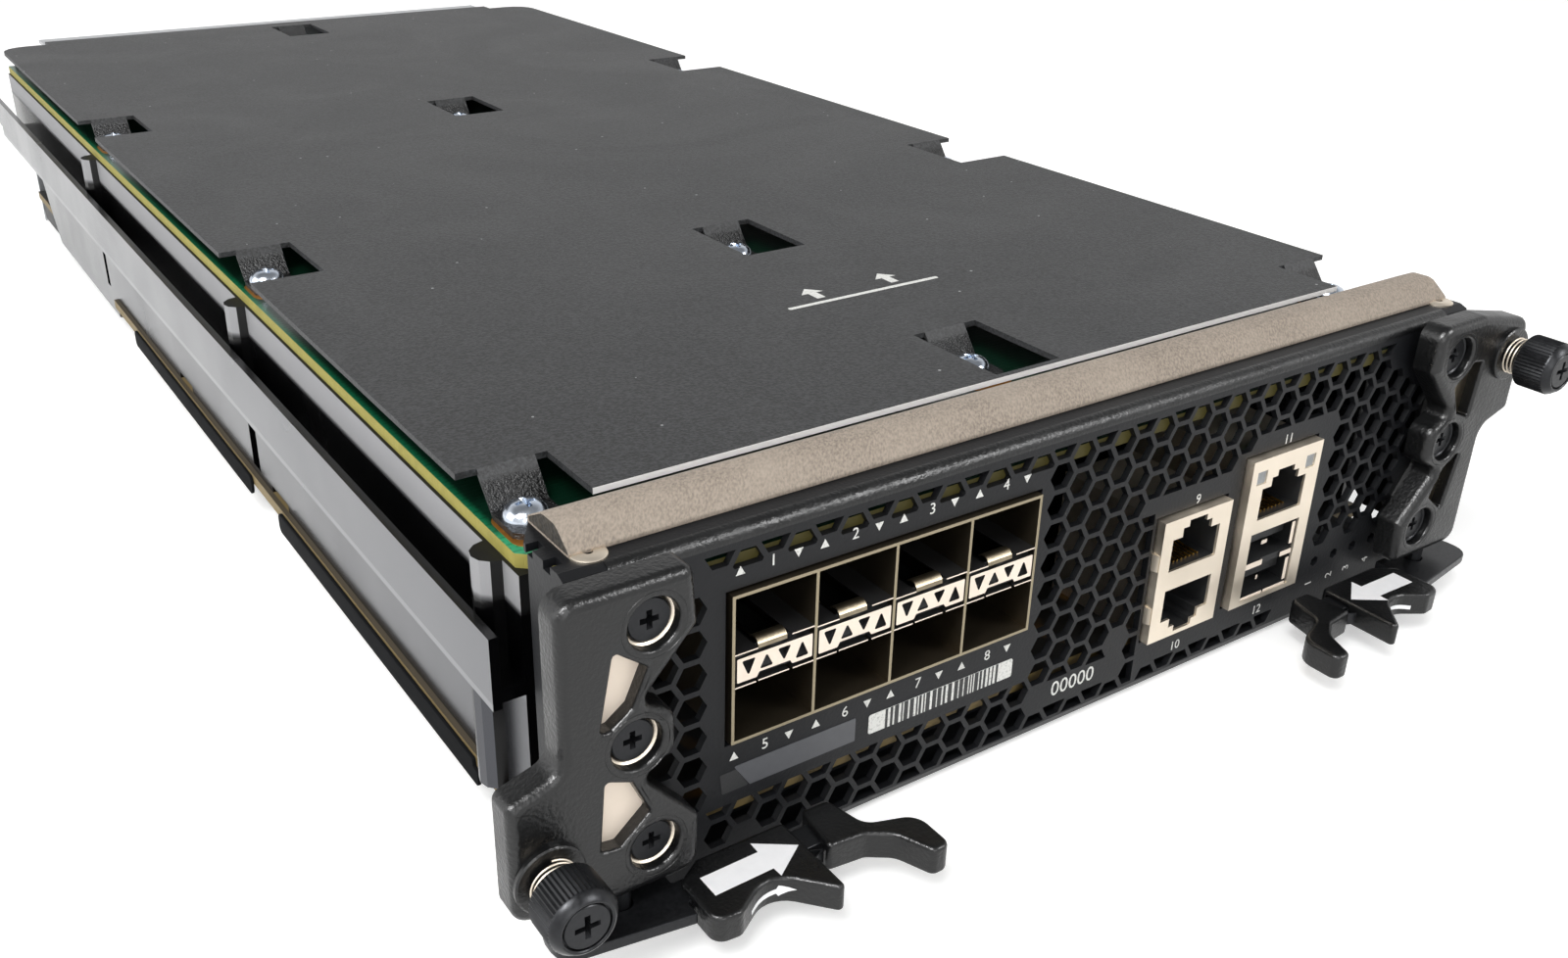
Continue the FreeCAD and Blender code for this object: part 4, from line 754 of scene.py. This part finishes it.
knob = lathe(screw["knob"], screw["teeth"] * 2, axis,
             lambda r, h, k: r - screw["tooth"] * (k % 2) if abs(r - screw["grip"]) < 0.01 else r)
knob = carved(knob, [crossCutter(axis, *screw["recess"])])
core = lathe(screw["core"], screw["sides"], axis)
verts, faces = [], []
stepCount = int(screw["sides"] * (screw["end"] - screw["start"]) / screw["pitch"])
for i in range(stepCount + 1):  # one ridge wound along the shank
    angle = 2 * math.pi * i / screw["sides"]
    start = screw["start"] + screw["pitch"] * i / screw["sides"]
    for r, h in screw["thread"]:
        verts.append(axis(r * math.cos(angle), r * math.sin(angle), start + h))
    if i:
        for k in range(3):
            faces.append((4 * i - 4 + k, 4 * i - 3 + k, 4 * i + 1 + k, 4 * i + k))
ridge = (verts, faces)
ferrule = lathe(screw["ferrule"], 48, axis)
path = []
room = screw["coilBack"] - screw["coilFront"] - 2 * screw["wire"]
coilCount = screw["turns"] * screw["coilSteps"]
for k in range(int(coilCount) + 1):
    angle = 2 * math.pi * k / screw["coilSteps"]
    path.append(Vector(axis(screw["coil"] * math.cos(angle), screw["coil"] * math.sin(angle),
                            screw["coilFront"] + screw["wire"] + room * k / coilCount)))
coil = tube(path, screw["wire"], 10)
for side, turn in (("left", lambda part: part), ("right", halfTurned)):
    body = side + "_screw_body"
    piece = place(side + "Thumbscrew", turn(joined([knob, core])), blackOxide, body, 30)
    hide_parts(side + "_thumbscrew")
    place(side + "ScrewThread", turn(ridge), blackOxide, body, 30)
    piece = place(side + "Ferrule", turn(ferrule), castBlack, "chassis")
    if side == "left":
        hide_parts("screw_ferrules")
    spring = place(side + "ScrewCoil", turn(coil), nickel, "chassis", 60)
    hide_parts(side + "_screw_spring")
    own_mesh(spring)
print("thumbscrews done")


# Ejector levers: bar, sliding grip, fixed hook and the spring between them
lever = {"pivot": -90.0, "barLow": 5.6, "barTop": 7.4, "gripLow": 4.1, "gripTop": 8.6, "hookLow": 3.8,
         "bar": [(35, 5), (35, 9.5), (7.9, 9.5), (7.9, 12.2), (-5, 10.2), (-11.6, 9.2, 3.4), (-11.6, 1.6, 3.0),
                 (7.9, 1.6), (7.9, 5)],
         "grip": [(12.6, 3.7, 0.9), (8.4, 6.4, 1.5), (8.3, 15.8, 2.4), (12.4, 16.2, 1.6), (19.5, 11.7, 8.0),
                  (27.6, 20.8, 0.8), (27.6, 3.7, 0.9)],
         "hook": [(31.4, 3.2, 0.8), (36.2, 3.2, 1.2), (37.8, 10.4, 3.0), (45.6, 13.0, 3.6), (45.6, 20.8, 2.2),
                  (42.4, 20.8, 1.4), (40.0, 15.0, 4.0), (36.4, 12.5, 2.0), (30.1, 11.8, 0.8)],
         "leaf": [(27.65, 9.95), (27.95, 9.85), (30.22, 10.8), (27.95, 11.75), (27.65, 11.65), (29.6, 10.8)],
         "leafZ": (5.0, 7.4), "pinHole": (0, 4.5, 1.75, 24), "hollow": (12.6, 27.5, 11),
         "gripGroove": (0, 40, 4.7, 9.8), "gripGrooveZ": (5.3, 7.7), "hookGroove": (20, 35, 5, 9.5),
         "arrow": [(11.0, 7.5), (20.8, 7.4), (20.9, 5.3), (26.6, 9.3), (20.9, 13.2), (20.8, 11.4), (11.0, 11.6)],
         "swishStart": 15.0, "swishRun": 7.4, "swishLow": 5.75, "swishRise": 0.9, "swishHalf": 0.42, "tipHalf": 0.95,
         "swishSteps": 24, "tipFrom": 17}
plan = lambda u, v, h: (lever["pivot"] + u, -v, h)
bar = block(rounded(lever["bar"], 0.3, 4), [ringOf(*lever["pinHole"])], lever["barLow"], lever["barTop"], plan,
            lowBend=0.25, highBend=0.25, holeBend=0.15)
grip = block(rounded(lever["grip"], 0, 7), [], lever["gripLow"], lever["gripTop"], plan, lowBend=0.5, highBend=0.7)
grip = carved(grip, [block(rounded(frameOf(*lever["gripGroove"])), [], *lever["gripGrooveZ"], plan)])
hook = block(rounded(lever["hook"], 0, 7), [], lever["hookLow"], lever["gripTop"], plan, lowBend=0.5, highBend=0.7)
hook = carved(hook, [block(rounded(frameOf(*lever["hookGroove"])), [], lever["barLow"], lever["barTop"], plan)])
leaf = block(rounded(lever["leaf"], 0.1, 3), [], *lever["leafZ"], plan)
arrow = block([Vector(p) for p in lever["arrow"]], [], lever["gripTop"] - 0.02, lever["gripTop"] + 0.02, plan)
start, end, depth = lever["hollow"]
wall = [p for p in rounded(lever["grip"], 0, 7) if start < p.x < end and p.y > depth]
wall.sort(key=lambda p: p.x)
verts, faces = [], []
steps, tipFrom = lever["swishSteps"], lever["tipFrom"]
for k in range(steps + 1):  # a curved arrow on the hollow front of the grip
    u = lever["swishStart"] + lever["swishRun"] * k / steps
    i = next(n for n in range(1, len(wall)) if wall[n].x >= u)
    a, b = wall[i - 1], wall[i]
    p = a + (b - a) * (u - a.x) / (b.x - a.x)
    off = Vector((a.y - b.y, b.x - a.x)).normalized() * 0.03
    half = lever["swishHalf"] if k < tipFrom else lever["tipHalf"] * (steps - k) / (steps - tipFrom)
    middle = lever["swishLow"] + lever["swishRise"] * k / steps
    verts += [plan(p.x + off.x, p.y + off.y, middle - half), plan(p.x + off.x, p.y + off.y, middle + half)]
    if k:
        faces.append((2 * k - 2, 2 * k, 2 * k + 1, 2 * k - 1))
swish = (verts, faces)
for side, turn in (("left", lambda part: part), ("right", mirrored)):
    piece = place(side + "LeverBar", turn(bar), blackOxide, side + "_lever", 40, True)
    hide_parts(side + "_lever_bar")
    piece = place(side + "LeverGrip", turn(grip), castBlack, side + "_grip", 40, True)
    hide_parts(side + "_lever_grip")
    piece = place(side + "LeverHook", turn(hook), castBlack, side + "_lever", 40, True)
    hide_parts(side + "_lever_hook")
    place(side + "GripArrow", turn(arrow), labelWhite, side + "_grip")
    place(side + "GripSwish", turn(swish), labelWhite, side + "_grip")
    piece = place(side + "GripLeaf", turn(leaf), blackOxide, side + "_lever")
    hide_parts(side + "_grip_spring")
    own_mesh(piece)  # held at the leaf's tip
print("levers done")


# Shielding gasket: cloth wrapped round a foam strip, open at the ends
gasket = {"section": [(4.6, 57.5, 0.2), (16.5, 57.5, 0.2), (16.5, 58.5, 0.4), (12.2, 60.9, 3.0), (8.2, 61.0, 3.0),
                      (4.6, 58.2, 0.5)], "left": -91.0, "right": 96.0, "skin": 0.22, "steps": 150, "wander": 0.06,
          "loose": 58.0, "top": 61.1, "tuck": 1.2, "seed": 7}
outline = wound(rounded(gasket["section"], 0.3, 6), True)
inner = shrunk(outline, gasket["skin"])
rng = random.Random(gasket["seed"])
wobble = [(rng.uniform(-1, 1), rng.uniform(-1, 1)) for k in range(gasket["steps"] + 1)]
verts, faces = [], []
count = len(outline)
for k in range(gasket["steps"] + 1):
    x = gasket["left"] + (gasket["right"] - gasket["left"]) * k / gasket["steps"]
    near = wobble[max(k - 2, 0):k + 3]
    dy = gasket["wander"] * sum(w[0] for w in near) / len(near)
    dz = gasket["wander"] * sum(w[1] for w in near) / len(near)
    lift = [min(1.0, max(0.0, (p.y - gasket["loose"]) / 2)) for p in outline]
    verts += [(x, p.x + dy * s, min(p.y + dz * s, gasket["top"])) for p, s in zip(outline, lift)]
    if k:
        for i in range(count):
            j = (i + 1) % count
            faces.append(((k - 1) * count + i, (k - 1) * count + j, k * count + j, k * count + i))
ends = [(0, gasket["left"], gasket["tuck"]), (gasket["steps"] * count, gasket["right"], -gasket["tuck"])]
for base, x, tuck in ends:  # the cloth's cut edge, seen from the end
    deep = len(verts)
    verts += [(x, p.x, p.y) for p in inner] + [(x + tuck, p.x, p.y) for p in inner]
    for i in range(count):
        j = (i + 1) % count
        faces.append((base + i, base + j, deep + j, deep + i))
        faces.append((deep + i, deep + j, deep + count + j, deep + count + i))
strip = place("shieldingGasketCloth", (verts, faces), clothTan, "chassis", 50)
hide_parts("shielding_gasket")
endwise = lambda u, v, h: (h, u, v)  # a section drawn across, with its length along x
filling = block(shrunk(outline, gasket["skin"] + 0.02), [], gasket["left"] + 0.1, gasket["right"] - 0.1, endwise)
place("gasketFoam", filling, foamGrey, "chassis")
bead = {"left": -87.6, "right": 90.6, "y": 2.0, "z": 55.5, "out": 2.02, "in": 1.6}  # the panel's rolled top edge
arc = [math.radians(180 - 7.5 * k) for k in range(13)]
roll = [Vector((bead["y"] + bead["out"] * math.cos(a), bead["z"] + bead["out"] * math.sin(a))) for a in arc]
roll += [Vector((bead["y"] + bead["in"] * math.cos(a), bead["z"] + bead["in"] * math.sin(a))) for a in arc[::-1]]
place("panelRoll", block(roll, [], bead["left"], bead["right"], endwise), castBlack, "chassis")
rivet = {"spots": [(-88.4, 4.4), (93.6, 4.4)],
         "disc": [(0.7, 57.5), (0.7, 57.95), (2.3, 57.95), (2.6, 57.75), (2.6, 57.5), (0.7, 57.5)]}
discs = [lathe(rivet["disc"], 40, upward(x, y)) for x, y in rivet["spots"]]
place("gasketRivets", joined(discs), nickel, "chassis")
print("gasket done")


# Cover screws and the board pads under the tabs
coverScrew = {"tabs": [(1.3, 40.0), (1.3, 113.2), (1.3, 257.4), (1.3, 400.2), (-87.7, 31.5), (-87.7, 147.6),
                       (-87.7, 280.6), (87.7, 31.5), (87.7, 147.6), (87.7, 280.6)],
              "back": 7.4, "rearShift": 1.2, "recess": (-56.5, 1.5), "padX": 87.0, "padHalf": 5.1, "pad": (14.3, 3.0),
              "padRound": 2.8, "padZ": (53.0, 53.06),
              "head": [(0, 54.0), (3.4, 54.0), (3.4, 54.35), (3.264, 54.95), (2.788, 55.6), (2.04, 56.05),
                       (1.02, 56.26), (0, 56.3)]}  # tabs of x and rear edge; profile of radius and height
heads, pads = [], []
for x, rear in coverScrew["tabs"]:
    seat = upward(x, rear - coverScrew["back"] + (coverScrew["rearShift"] if rear > 100 else 0))
    flipped = lambda u, v, h, seat=seat: seat(u, v, -h)
    heads.append(carved(lathe(coverScrew["head"], 40, seat), [crossCutter(flipped, *coverScrew["recess"])]))
    mid = math.copysign(coverScrew["padX"], x) if abs(x) > 50 else x
    half = coverScrew["padHalf"]
    plot = frameOf(mid - half, mid + half, rear - coverScrew["pad"][0], rear - coverScrew["pad"][1])
    pads.append(block(rounded(plot, coverScrew["padRound"], 5), [], *coverScrew["padZ"], upward(0, 0)))
place("coverScrews", joined(heads), zinc, "chassis")
place("tabPads", joined(pads), copper, "chassis")
print("cover screws done")


# Black guards along the main board's edges
guard = {"sides": [(-95.3, -94.66), (94.66, 95.3)], "rim": 0.15,
         "runs": [[(31.0, 5.5, 0.6), (128.5, 5.5, 1.4), (128.5, 9.9, 1.4), (32.6, 9.9, 0.6), (32.6, 8.4, 0.3),
                   (31.0, 8.4, 0.6)],
                  [(147.0, 5.5, 1.4), (250.4, 5.5, 1.4), (250.4, 9.9, 1.4), (147.0, 9.9, 1.4)]]}
edges = [block(rounded(run), [], low, high, endwise, guard["rim"], guard["rim"])
         for low, high in guard["sides"] for run in guard["runs"]]
place("boardEdgeGuards", joined(edges), rubber, "chassis")
print("edge guards done")


# Cage strips between the two rows, with their leaves, blinds and latch tabs
cageStrip = {"pitch": 14.25, "left": -69.6, "low": 33.4, "high": 37.35, "notch": 0.75, "front": -0.8, "thick": 0.4,
             "leaf": 0.22, "leafBack": 24.0, "holes": [0.15, 0.385, 0.62, 0.86], "holeHalf": 1.15,
             "blind": (32.8, 38.0), "blindY": (0.5, 0.8),
             "leaves": [(None, 0.27, 38.0), (0.72, None, 38.35), (None, 0.25, 32.55), (0.28, 0.69, 32.6),
                        (0.74, None, 32.55)],  # left and right as shares of the strip, none for the port's side
             "tab": [(-0.7, 37.95), (-0.6, 38.6), (-0.15, 39.15), (0.5, 39.4), (1.15, 39.3), (1.7, 38.9), (1.6, 38.7),
                     (1.1, 39.05), (0.5, 39.15), (0.0, 38.95), (-0.35, 38.5), (-0.4, 37.95)]}
plates, blinds, tabs = [], [], []
upright = lambda u, v, h: (u, h, v)
for k in range(4):
    x0 = cageStrip["left"] + cageStrip["pitch"] * k + (0.5 if k == 0 else 0.25)
    x1 = cageStrip["left"] + cageStrip["pitch"] * (k + 1) - (0.5 if k == 3 else 0.25)
    a, low, high, up = x0 + 0.35, cageStrip["low"], cageStrip["high"], cageStrip["notch"]
    w, front, half = x1 - 0.3 - a, cageStrip["front"], cageStrip["holeHalf"]
    edge = [(a, low), (a + 0.26 * w, low), (a + 0.29 * w, low + up), (a + 0.7 * w, low + up),
            (a + 0.73 * w, low + 0.1), (a + w, low + 0.1), (a + w, high), (a, high)]
    holes = []
    for n, share in enumerate(cageStrip["holes"]):  # triangles, by turns upright and hanging
        base, tip = low + (1.15 if n in (1, 2) else 0.7), high - 0.55
        if n % 2 == 0:
            base, tip = tip, base
        mid = a + share * w
        holes.append(rounded([(mid - half, base), (mid + half, base), (mid, tip)], 0.2, 3))
    plates.append(block(rounded(edge, 0.2, 3), holes, front, front + cageStrip["thick"], upright))
    for left, right, z in cageStrip["leaves"]:
        leaf = frameOf(x0 if left is None else a + left * w, x1 if right is None else a + right * w, z,
                       z + cageStrip["leaf"])
        plates.append(block(rounded(leaf), [], front, cageStrip["leafBack"], upright))
    blinds.append(block(rounded(frameOf(x0, x1, *cageStrip["blind"])), [], *cageStrip["blindY"], upright))
    tabs.append(block(rounded(cageStrip["tab"]), [], a + 0.28 * w, a + 0.66 * w, endwise))
piece = place("cageStrips", joined(plates), plateCream, "chassis", 30)
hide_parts("cage_separators")
place("cageBlinds", joined(blinds), plasticBlack, "chassis", 30)
piece = place("cageLatchTabs", joined(tabs), bronze, "chassis", 30)
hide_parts("cage_latches")
print("cage done")


# Network contacts, data-port strips and shield springs
jack = {"ports": [(25.2, 24.2, 1), (25.2, 20.4, -1), (47.3, 28.0, 1)], "pitch": 1.02, "wire": 0.22,
        "bend": [(0.4, 0.24), (3.4, 0.26), (4.4, 0.44), (9.0, 1.5), (12.0, 2.1)],
        "strips": [(40.75, 45.5, -1.3, -0.9, 17.75, 18.9), (50.4, 53.6, -1.3, -0.9, 17.85, 18.85),
                   (52.6, 53.5, -1.2, -0.9, 19.9, 24.5), (52.6, 53.5, -1.2, -0.9, 12.3, 17.0),
                   (40.9, 46.8, -1.4, -0.9, 11.45, 12.0), (47.2, 53.2, -1.4, -0.9, 11.45, 12.0),
                   (46.4, 48.0, 0.2, 0.4, 20.9, 21.7), (40.82, 41.5, -0.4, 0.4, 20.6, 22.2),
                   (46.6, 47.1, 0.2, 0.4, 13.5, 14.4)],  # left, right, front, back, low, high in the data ports
        "finger": [(16.75, -1.2), (16.6, -1.3), (16.28, -0.4), (16.4, 0.8), (16.72, 2.2)], "fingerZ": [26.5, 16.0],
        "fingerHalf": 1.6}
wires = []
for x, z, up in jack["ports"]:
    for k in range(8):
        u = x + (k - 3.5) * jack["pitch"]
        wires.append(tube([Vector((u, y, z + up * rise)) for y, rise in jack["bend"]], jack["wire"], 6))
piece = place("networkContacts", joined(wires), gold, "chassis", 60)
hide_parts("jack_contacts")
liners = [block(rounded(frameOf(left, right, low, high), 0.12, 2), [], front, back, upright)
          for left, right, front, back, low, high in jack["strips"]]
place("dataPortStrips", joined(liners), plateCream, "chassis", 30)
fingers = [block([Vector(p) for p in jack["finger"]], [], z - jack["fingerHalf"], z + jack["fingerHalf"], upward(0, 0))
           for z in jack["fingerZ"]]
place("shieldFingers", joined(fingers), nickel, "chassis", 40)
print("jacks done")


# Printed marks on the panel: plain port numbers, side marks and lamp numbers
marks = {"top": [(-62.5, "1"), (-48.4, "2"), (-34.3, "3"), (-19.8, "4")], "topZ": 50.9,
         "low": [(-63.2, "5"), (-48.7, "6"), (-34.6, "7"), (-20.3, "8")], "lowZ": 20.5,
         "unit": (0.5, 7.9, "00000"), "unitSize": 4.1,
         "jacks": [(26.1, 35.9, "9"), (26.2, 6.3, "10"), (48.4, 41.8, "11"), (48.4, 6.5, "12")],
         "lamps": [(63.4, "1"), (69.5, "2"), (74.8, "3"), (80.8, "4")], "lampZ": 7.5, "size": 2.6, "thick": 0.04,
         "pointers": [(-5.4, 1), (4.2, -1)], "pointer": [(-0.75, -0.6), (0.75, -0.6), (0, 0.75)]}  # offset and way up


def numeral(text, size, toSpace):  # a plain printed number, centred
    curve = bpy.data.curves.new("numeral", "FONT")
    curve.body, curve.size, curve.align_x, curve.align_y = text, size, "CENTER", "CENTER"
    curve.extrude, curve.resolution_u = marks["thick"] / 2, 3
    helper = bpy.data.objects.new("numeral", curve)
    bpy.context.scene.collection.objects.link(helper)
    mesh = bpy.data.meshes.new_from_object(helper.evaluated_get(bpy.context.evaluated_depsgraph_get()))
    part = [toSpace(*v.co) for v in mesh.vertices], [tuple(p.vertices) for p in mesh.polygons]
    bpy.data.objects.remove(helper)
    return part


onPanel = lambda x, z: (lambda u, v, h: (x + u, -h - 0.01, z + v))
printed = []
for row in ("top", "low"):
    z = marks[row + "Z"]
    for x, text in marks[row]:
        printed.append(numeral(text, marks["size"], onPanel(x, z)))
        for dx, way in marks["pointers"]:
            points = [Vector((u, v * way)) for u, v in marks["pointer"]]
            printed.append(block(points, [], 0, marks["thick"], onPanel(x + dx, z)))
for x, z, text in marks["jacks"]:
    printed.append(numeral(text, marks["size"], onPanel(x, z)))
x, z, text = marks["unit"]
printed.append(numeral(text, marks["unitSize"], onPanel(x, z)))
for x, text in marks["lamps"]:
    printed.append(numeral(text, marks["size"], lambda u, v, h, x=x: (x - v, -h - 0.01, marks["lampZ"] + u)))
place("panelMarks", joined(printed), ink, "chassis")
sticker = {"bars": (-44.0, -14.5, 14.5, 18.0), "end": 3.2, "thick": 0.08, "barZ": (0.07, 0.1), "seed": 11,
           "wide": (0.3, 0.5, 0.8), "gap": (0.25, 0.35, 0.5),
           "plain": [(-68.6, 18.6), (-65.8, 14.4), (-46.6, 14.4), (-46.6, 18.6)],
           "dark": [(-71.0, 18.0), (-70.6, 14.4), (-66.0, 14.4), (-68.2, 18.0)], "darkThick": 0.05}
x0, x1, z0, z1 = sticker["bars"]
for name, sheet, thick, finish in (
        ("plainSticker", rounded(sticker["plain"], 0.2, 3), sticker["thick"], label),
        ("darkSticker", rounded(sticker["dark"], 0.2, 3), sticker["darkThick"], plasticBlack),
        ("barSticker", rounded(frameOf(*sticker["bars"]), 0.4, 3), sticker["thick"], ink)):
    place(name, block(sheet, [], 0.0, thick, faced), finish, "chassis")
rng = random.Random(sticker["seed"])
stripes, x = [], x0 + sticker["end"]
while x < x1 - sticker["end"]:  # bars that say nothing, between white ends
    wide = rng.choice(sticker["wide"])
    stripes.append(block([Vector(p) for p in frameOf(x, x + wide, z0, z1)], [], *sticker["barZ"], faced))
    x += wide + rng.choice(sticker["gap"])
place("stickerBars", joined(stripes), plasticBlack, "chassis")
coverMark = {"y": 66.5, "spots": [-8.0, 9.4], "line": (-16.8, 18.2, 61.4, 62.4), "z": (59.19, 59.24),
             "arrow": [(-0.9, -2.6), (0.9, -2.6), (0.9, 0.4), (2.4, 0.4), (0, 3.0), (-2.4, 0.4), (-0.9, 0.4)]}
signs = [block([Vector(p) for p in coverMark["arrow"]], [], *coverMark["z"], upward(x, coverMark["y"]))
         for x in coverMark["spots"]]
signs.append(block(rounded(frameOf(*coverMark["line"]), 0.3, 3), [], *coverMark["z"], upward(0, 0)))
place("coverMarks", joined(signs), ink, "chassis")
print("marks done")


# Studio: pale floor, white surroundings, soft lamps and the camera of the photograph
studio = {"floor": "#e9e9e8", "floorShade": "#e4e4e3", "reach": 6.0, "drop": 0.0004, "glow": 0.45, "soft": 0.55,
          "ceiling": 0.3, "fibre": 60.0, "aim": (0, 0, 0.03),
          "key": (-0.62, -0.55, 1.05), "keyPower": 9.0, "keySize": 0.5,
          "side": (-1.1, 0.25, 0.45), "sidePower": 5.0, "sideSize": 0.9,
          "front": (-0.45, -1.15, 0.42), "frontPower": 4.0, "frontSize": 0.6,
          "rim": (0.6, -0.95, 0.75), "rimPower": 9.0, "rimSize": 0.4,
          "crest": (-0.75, -0.4, 0.8), "crestPower": 12.0, "crestSize": 0.3}
ground = bpy.data.meshes.new("studioFloor")
reach = studio["reach"]
ground.from_pydata([(x, y, -studio["drop"]) for x, y in frameOf(-reach, reach, -reach, reach)], [], [(0, 1, 2, 3)])
floor = bpy.data.objects.new("studioFloor", ground)
bpy.context.scene.collection.objects.link(floor)
paper = bpy.data.materials.new("paperSweep")
paper.use_nodes = True
tree = paper.node_tree
tree.nodes.clear()
seen = addNode(tree, "ShaderNodeLightPath")
either = addNode(tree, "ShaderNodeMath", {"operation": "MAXIMUM"},
                 {0: seen.outputs["Is Camera Ray"], 1: seen.outputs["Is Glossy Ray"]})
anySeen = addNode(tree, "ShaderNodeMath", {"operation": "MAXIMUM"},
                  {0: either.outputs[0], 1: seen.outputs["Is Transmission Ray"]})
glow = addNode(tree, "ShaderNodeMath", {"operation": "MULTIPLY", 1: studio["glow"]}, {0: anySeen.outputs[0]})
fibre = addNode(tree, "ShaderNodeTexNoise", {"Scale": studio["fibre"], "Detail": 3.0})
tint = addNode(tree, "ShaderNodeMix", {"data_type": "RGBA", 6: linear(studio["floorShade"]),
                                       7: linear(studio["floor"])}, {0: fibre.outputs["Fac"]})
matt = addNode(tree, "ShaderNodeBsdfDiffuse", {}, {"Color": tint.outputs[2]})
shine = addNode(tree, "ShaderNodeEmission", {"Color": (1, 1, 1, 1)}, {"Strength": glow.outputs[0]})
both = addNode(tree, "ShaderNodeAddShader", {}, {0: matt.outputs[0], 1: shine.outputs[0]})
addNode(tree, "ShaderNodeOutputMaterial", {}, {"Surface": both.outputs[0]})
ground.materials.append(paper)

world = bpy.data.worlds.new("studioWorld")
bpy.context.scene.world = world
world.use_nodes = True
tree = world.node_tree
tree.nodes.clear()
seen = addNode(tree, "ShaderNodeLightPath")
either = addNode(tree, "ShaderNodeMath", {"operation": "MAXIMUM"},
                 {0: seen.outputs["Is Camera Ray"], 1: seen.outputs["Is Transmission Ray"]})
spots = addNode(tree, "ShaderNodeTexCoord")
way = addNode(tree, "ShaderNodeSeparateXYZ", {}, {"Vector": spots.outputs["Generated"]})
ceiling = addNode(tree, "ShaderNodeMapRange", {1: 0.5, 2: 0.78, 3: 1.0, 4: studio["ceiling"]},
                  {0: way.outputs["Z"]})  # mirrors see white walls and a dim ceiling
mirror = addNode(tree, "ShaderNodeMath", {"operation": "MULTIPLY"},
                 {0: seen.outputs["Is Glossy Ray"], 1: ceiling.outputs[0]})
matt = addNode(tree, "ShaderNodeMapRange", {1: 0.0, 2: 1.0, 3: studio["soft"], 4: 0.0},
               {0: seen.outputs["Is Glossy Ray"]})
room = addNode(tree, "ShaderNodeMath", {"operation": "MAXIMUM"}, {0: mirror.outputs[0], 1: matt.outputs[0]})
level = addNode(tree, "ShaderNodeMath", {"operation": "MAXIMUM"}, {0: either.outputs[0], 1: room.outputs[0]})
sky = addNode(tree, "ShaderNodeBackground", {"Color": (1, 1, 1, 1)}, {"Strength": level.outputs[0]})
addNode(tree, "ShaderNodeOutputWorld", {}, {"Surface": sky.outputs[0]})

for name in ("key", "side", "front", "rim", "crest"):
    lamp = bpy.data.lights.new(name + "Softbox", "AREA")
    lamp.energy, lamp.size = studio[name + "Power"], studio[name + "Size"]
    stand = bpy.data.objects.new(name + "Softbox", lamp)
    stand.location = studio[name]
    stand.rotation_euler = (Vector(studio["aim"]) - Vector(studio[name])).to_track_quat("-Z", "Y").to_euler()
    bpy.context.scene.collection.objects.link(stand)
    stand.visible_diffuse = name not in ("rim", "crest")  # these two only draw bright lines along the rims

shot = {"lens": 33.5504, "sensor": 36.0, "shift": (0.0262739, -0.0130607),
        "place": (-0.16245578, -0.34312543, 0.14991186), "turn": (64.20522, -0.73055, -33.42937)}
eye = bpy.data.cameras.new("photoCamera")
eye.lens, eye.sensor_width, eye.sensor_fit = shot["lens"], shot["sensor"], "HORIZONTAL"
eye.shift_x, eye.shift_y = shot["shift"]
eye.clip_start, eye.clip_end = 0.01, 30.0
camera = bpy.data.objects.new("photoCamera", eye)
camera.location = shot["place"]
camera.rotation_euler = [math.radians(a) for a in shot["turn"]]
bpy.context.scene.collection.objects.link(camera)
bpy.context.scene.camera = camera
bpy.context.scene.view_settings.view_transform = "Standard"
print("studio done")
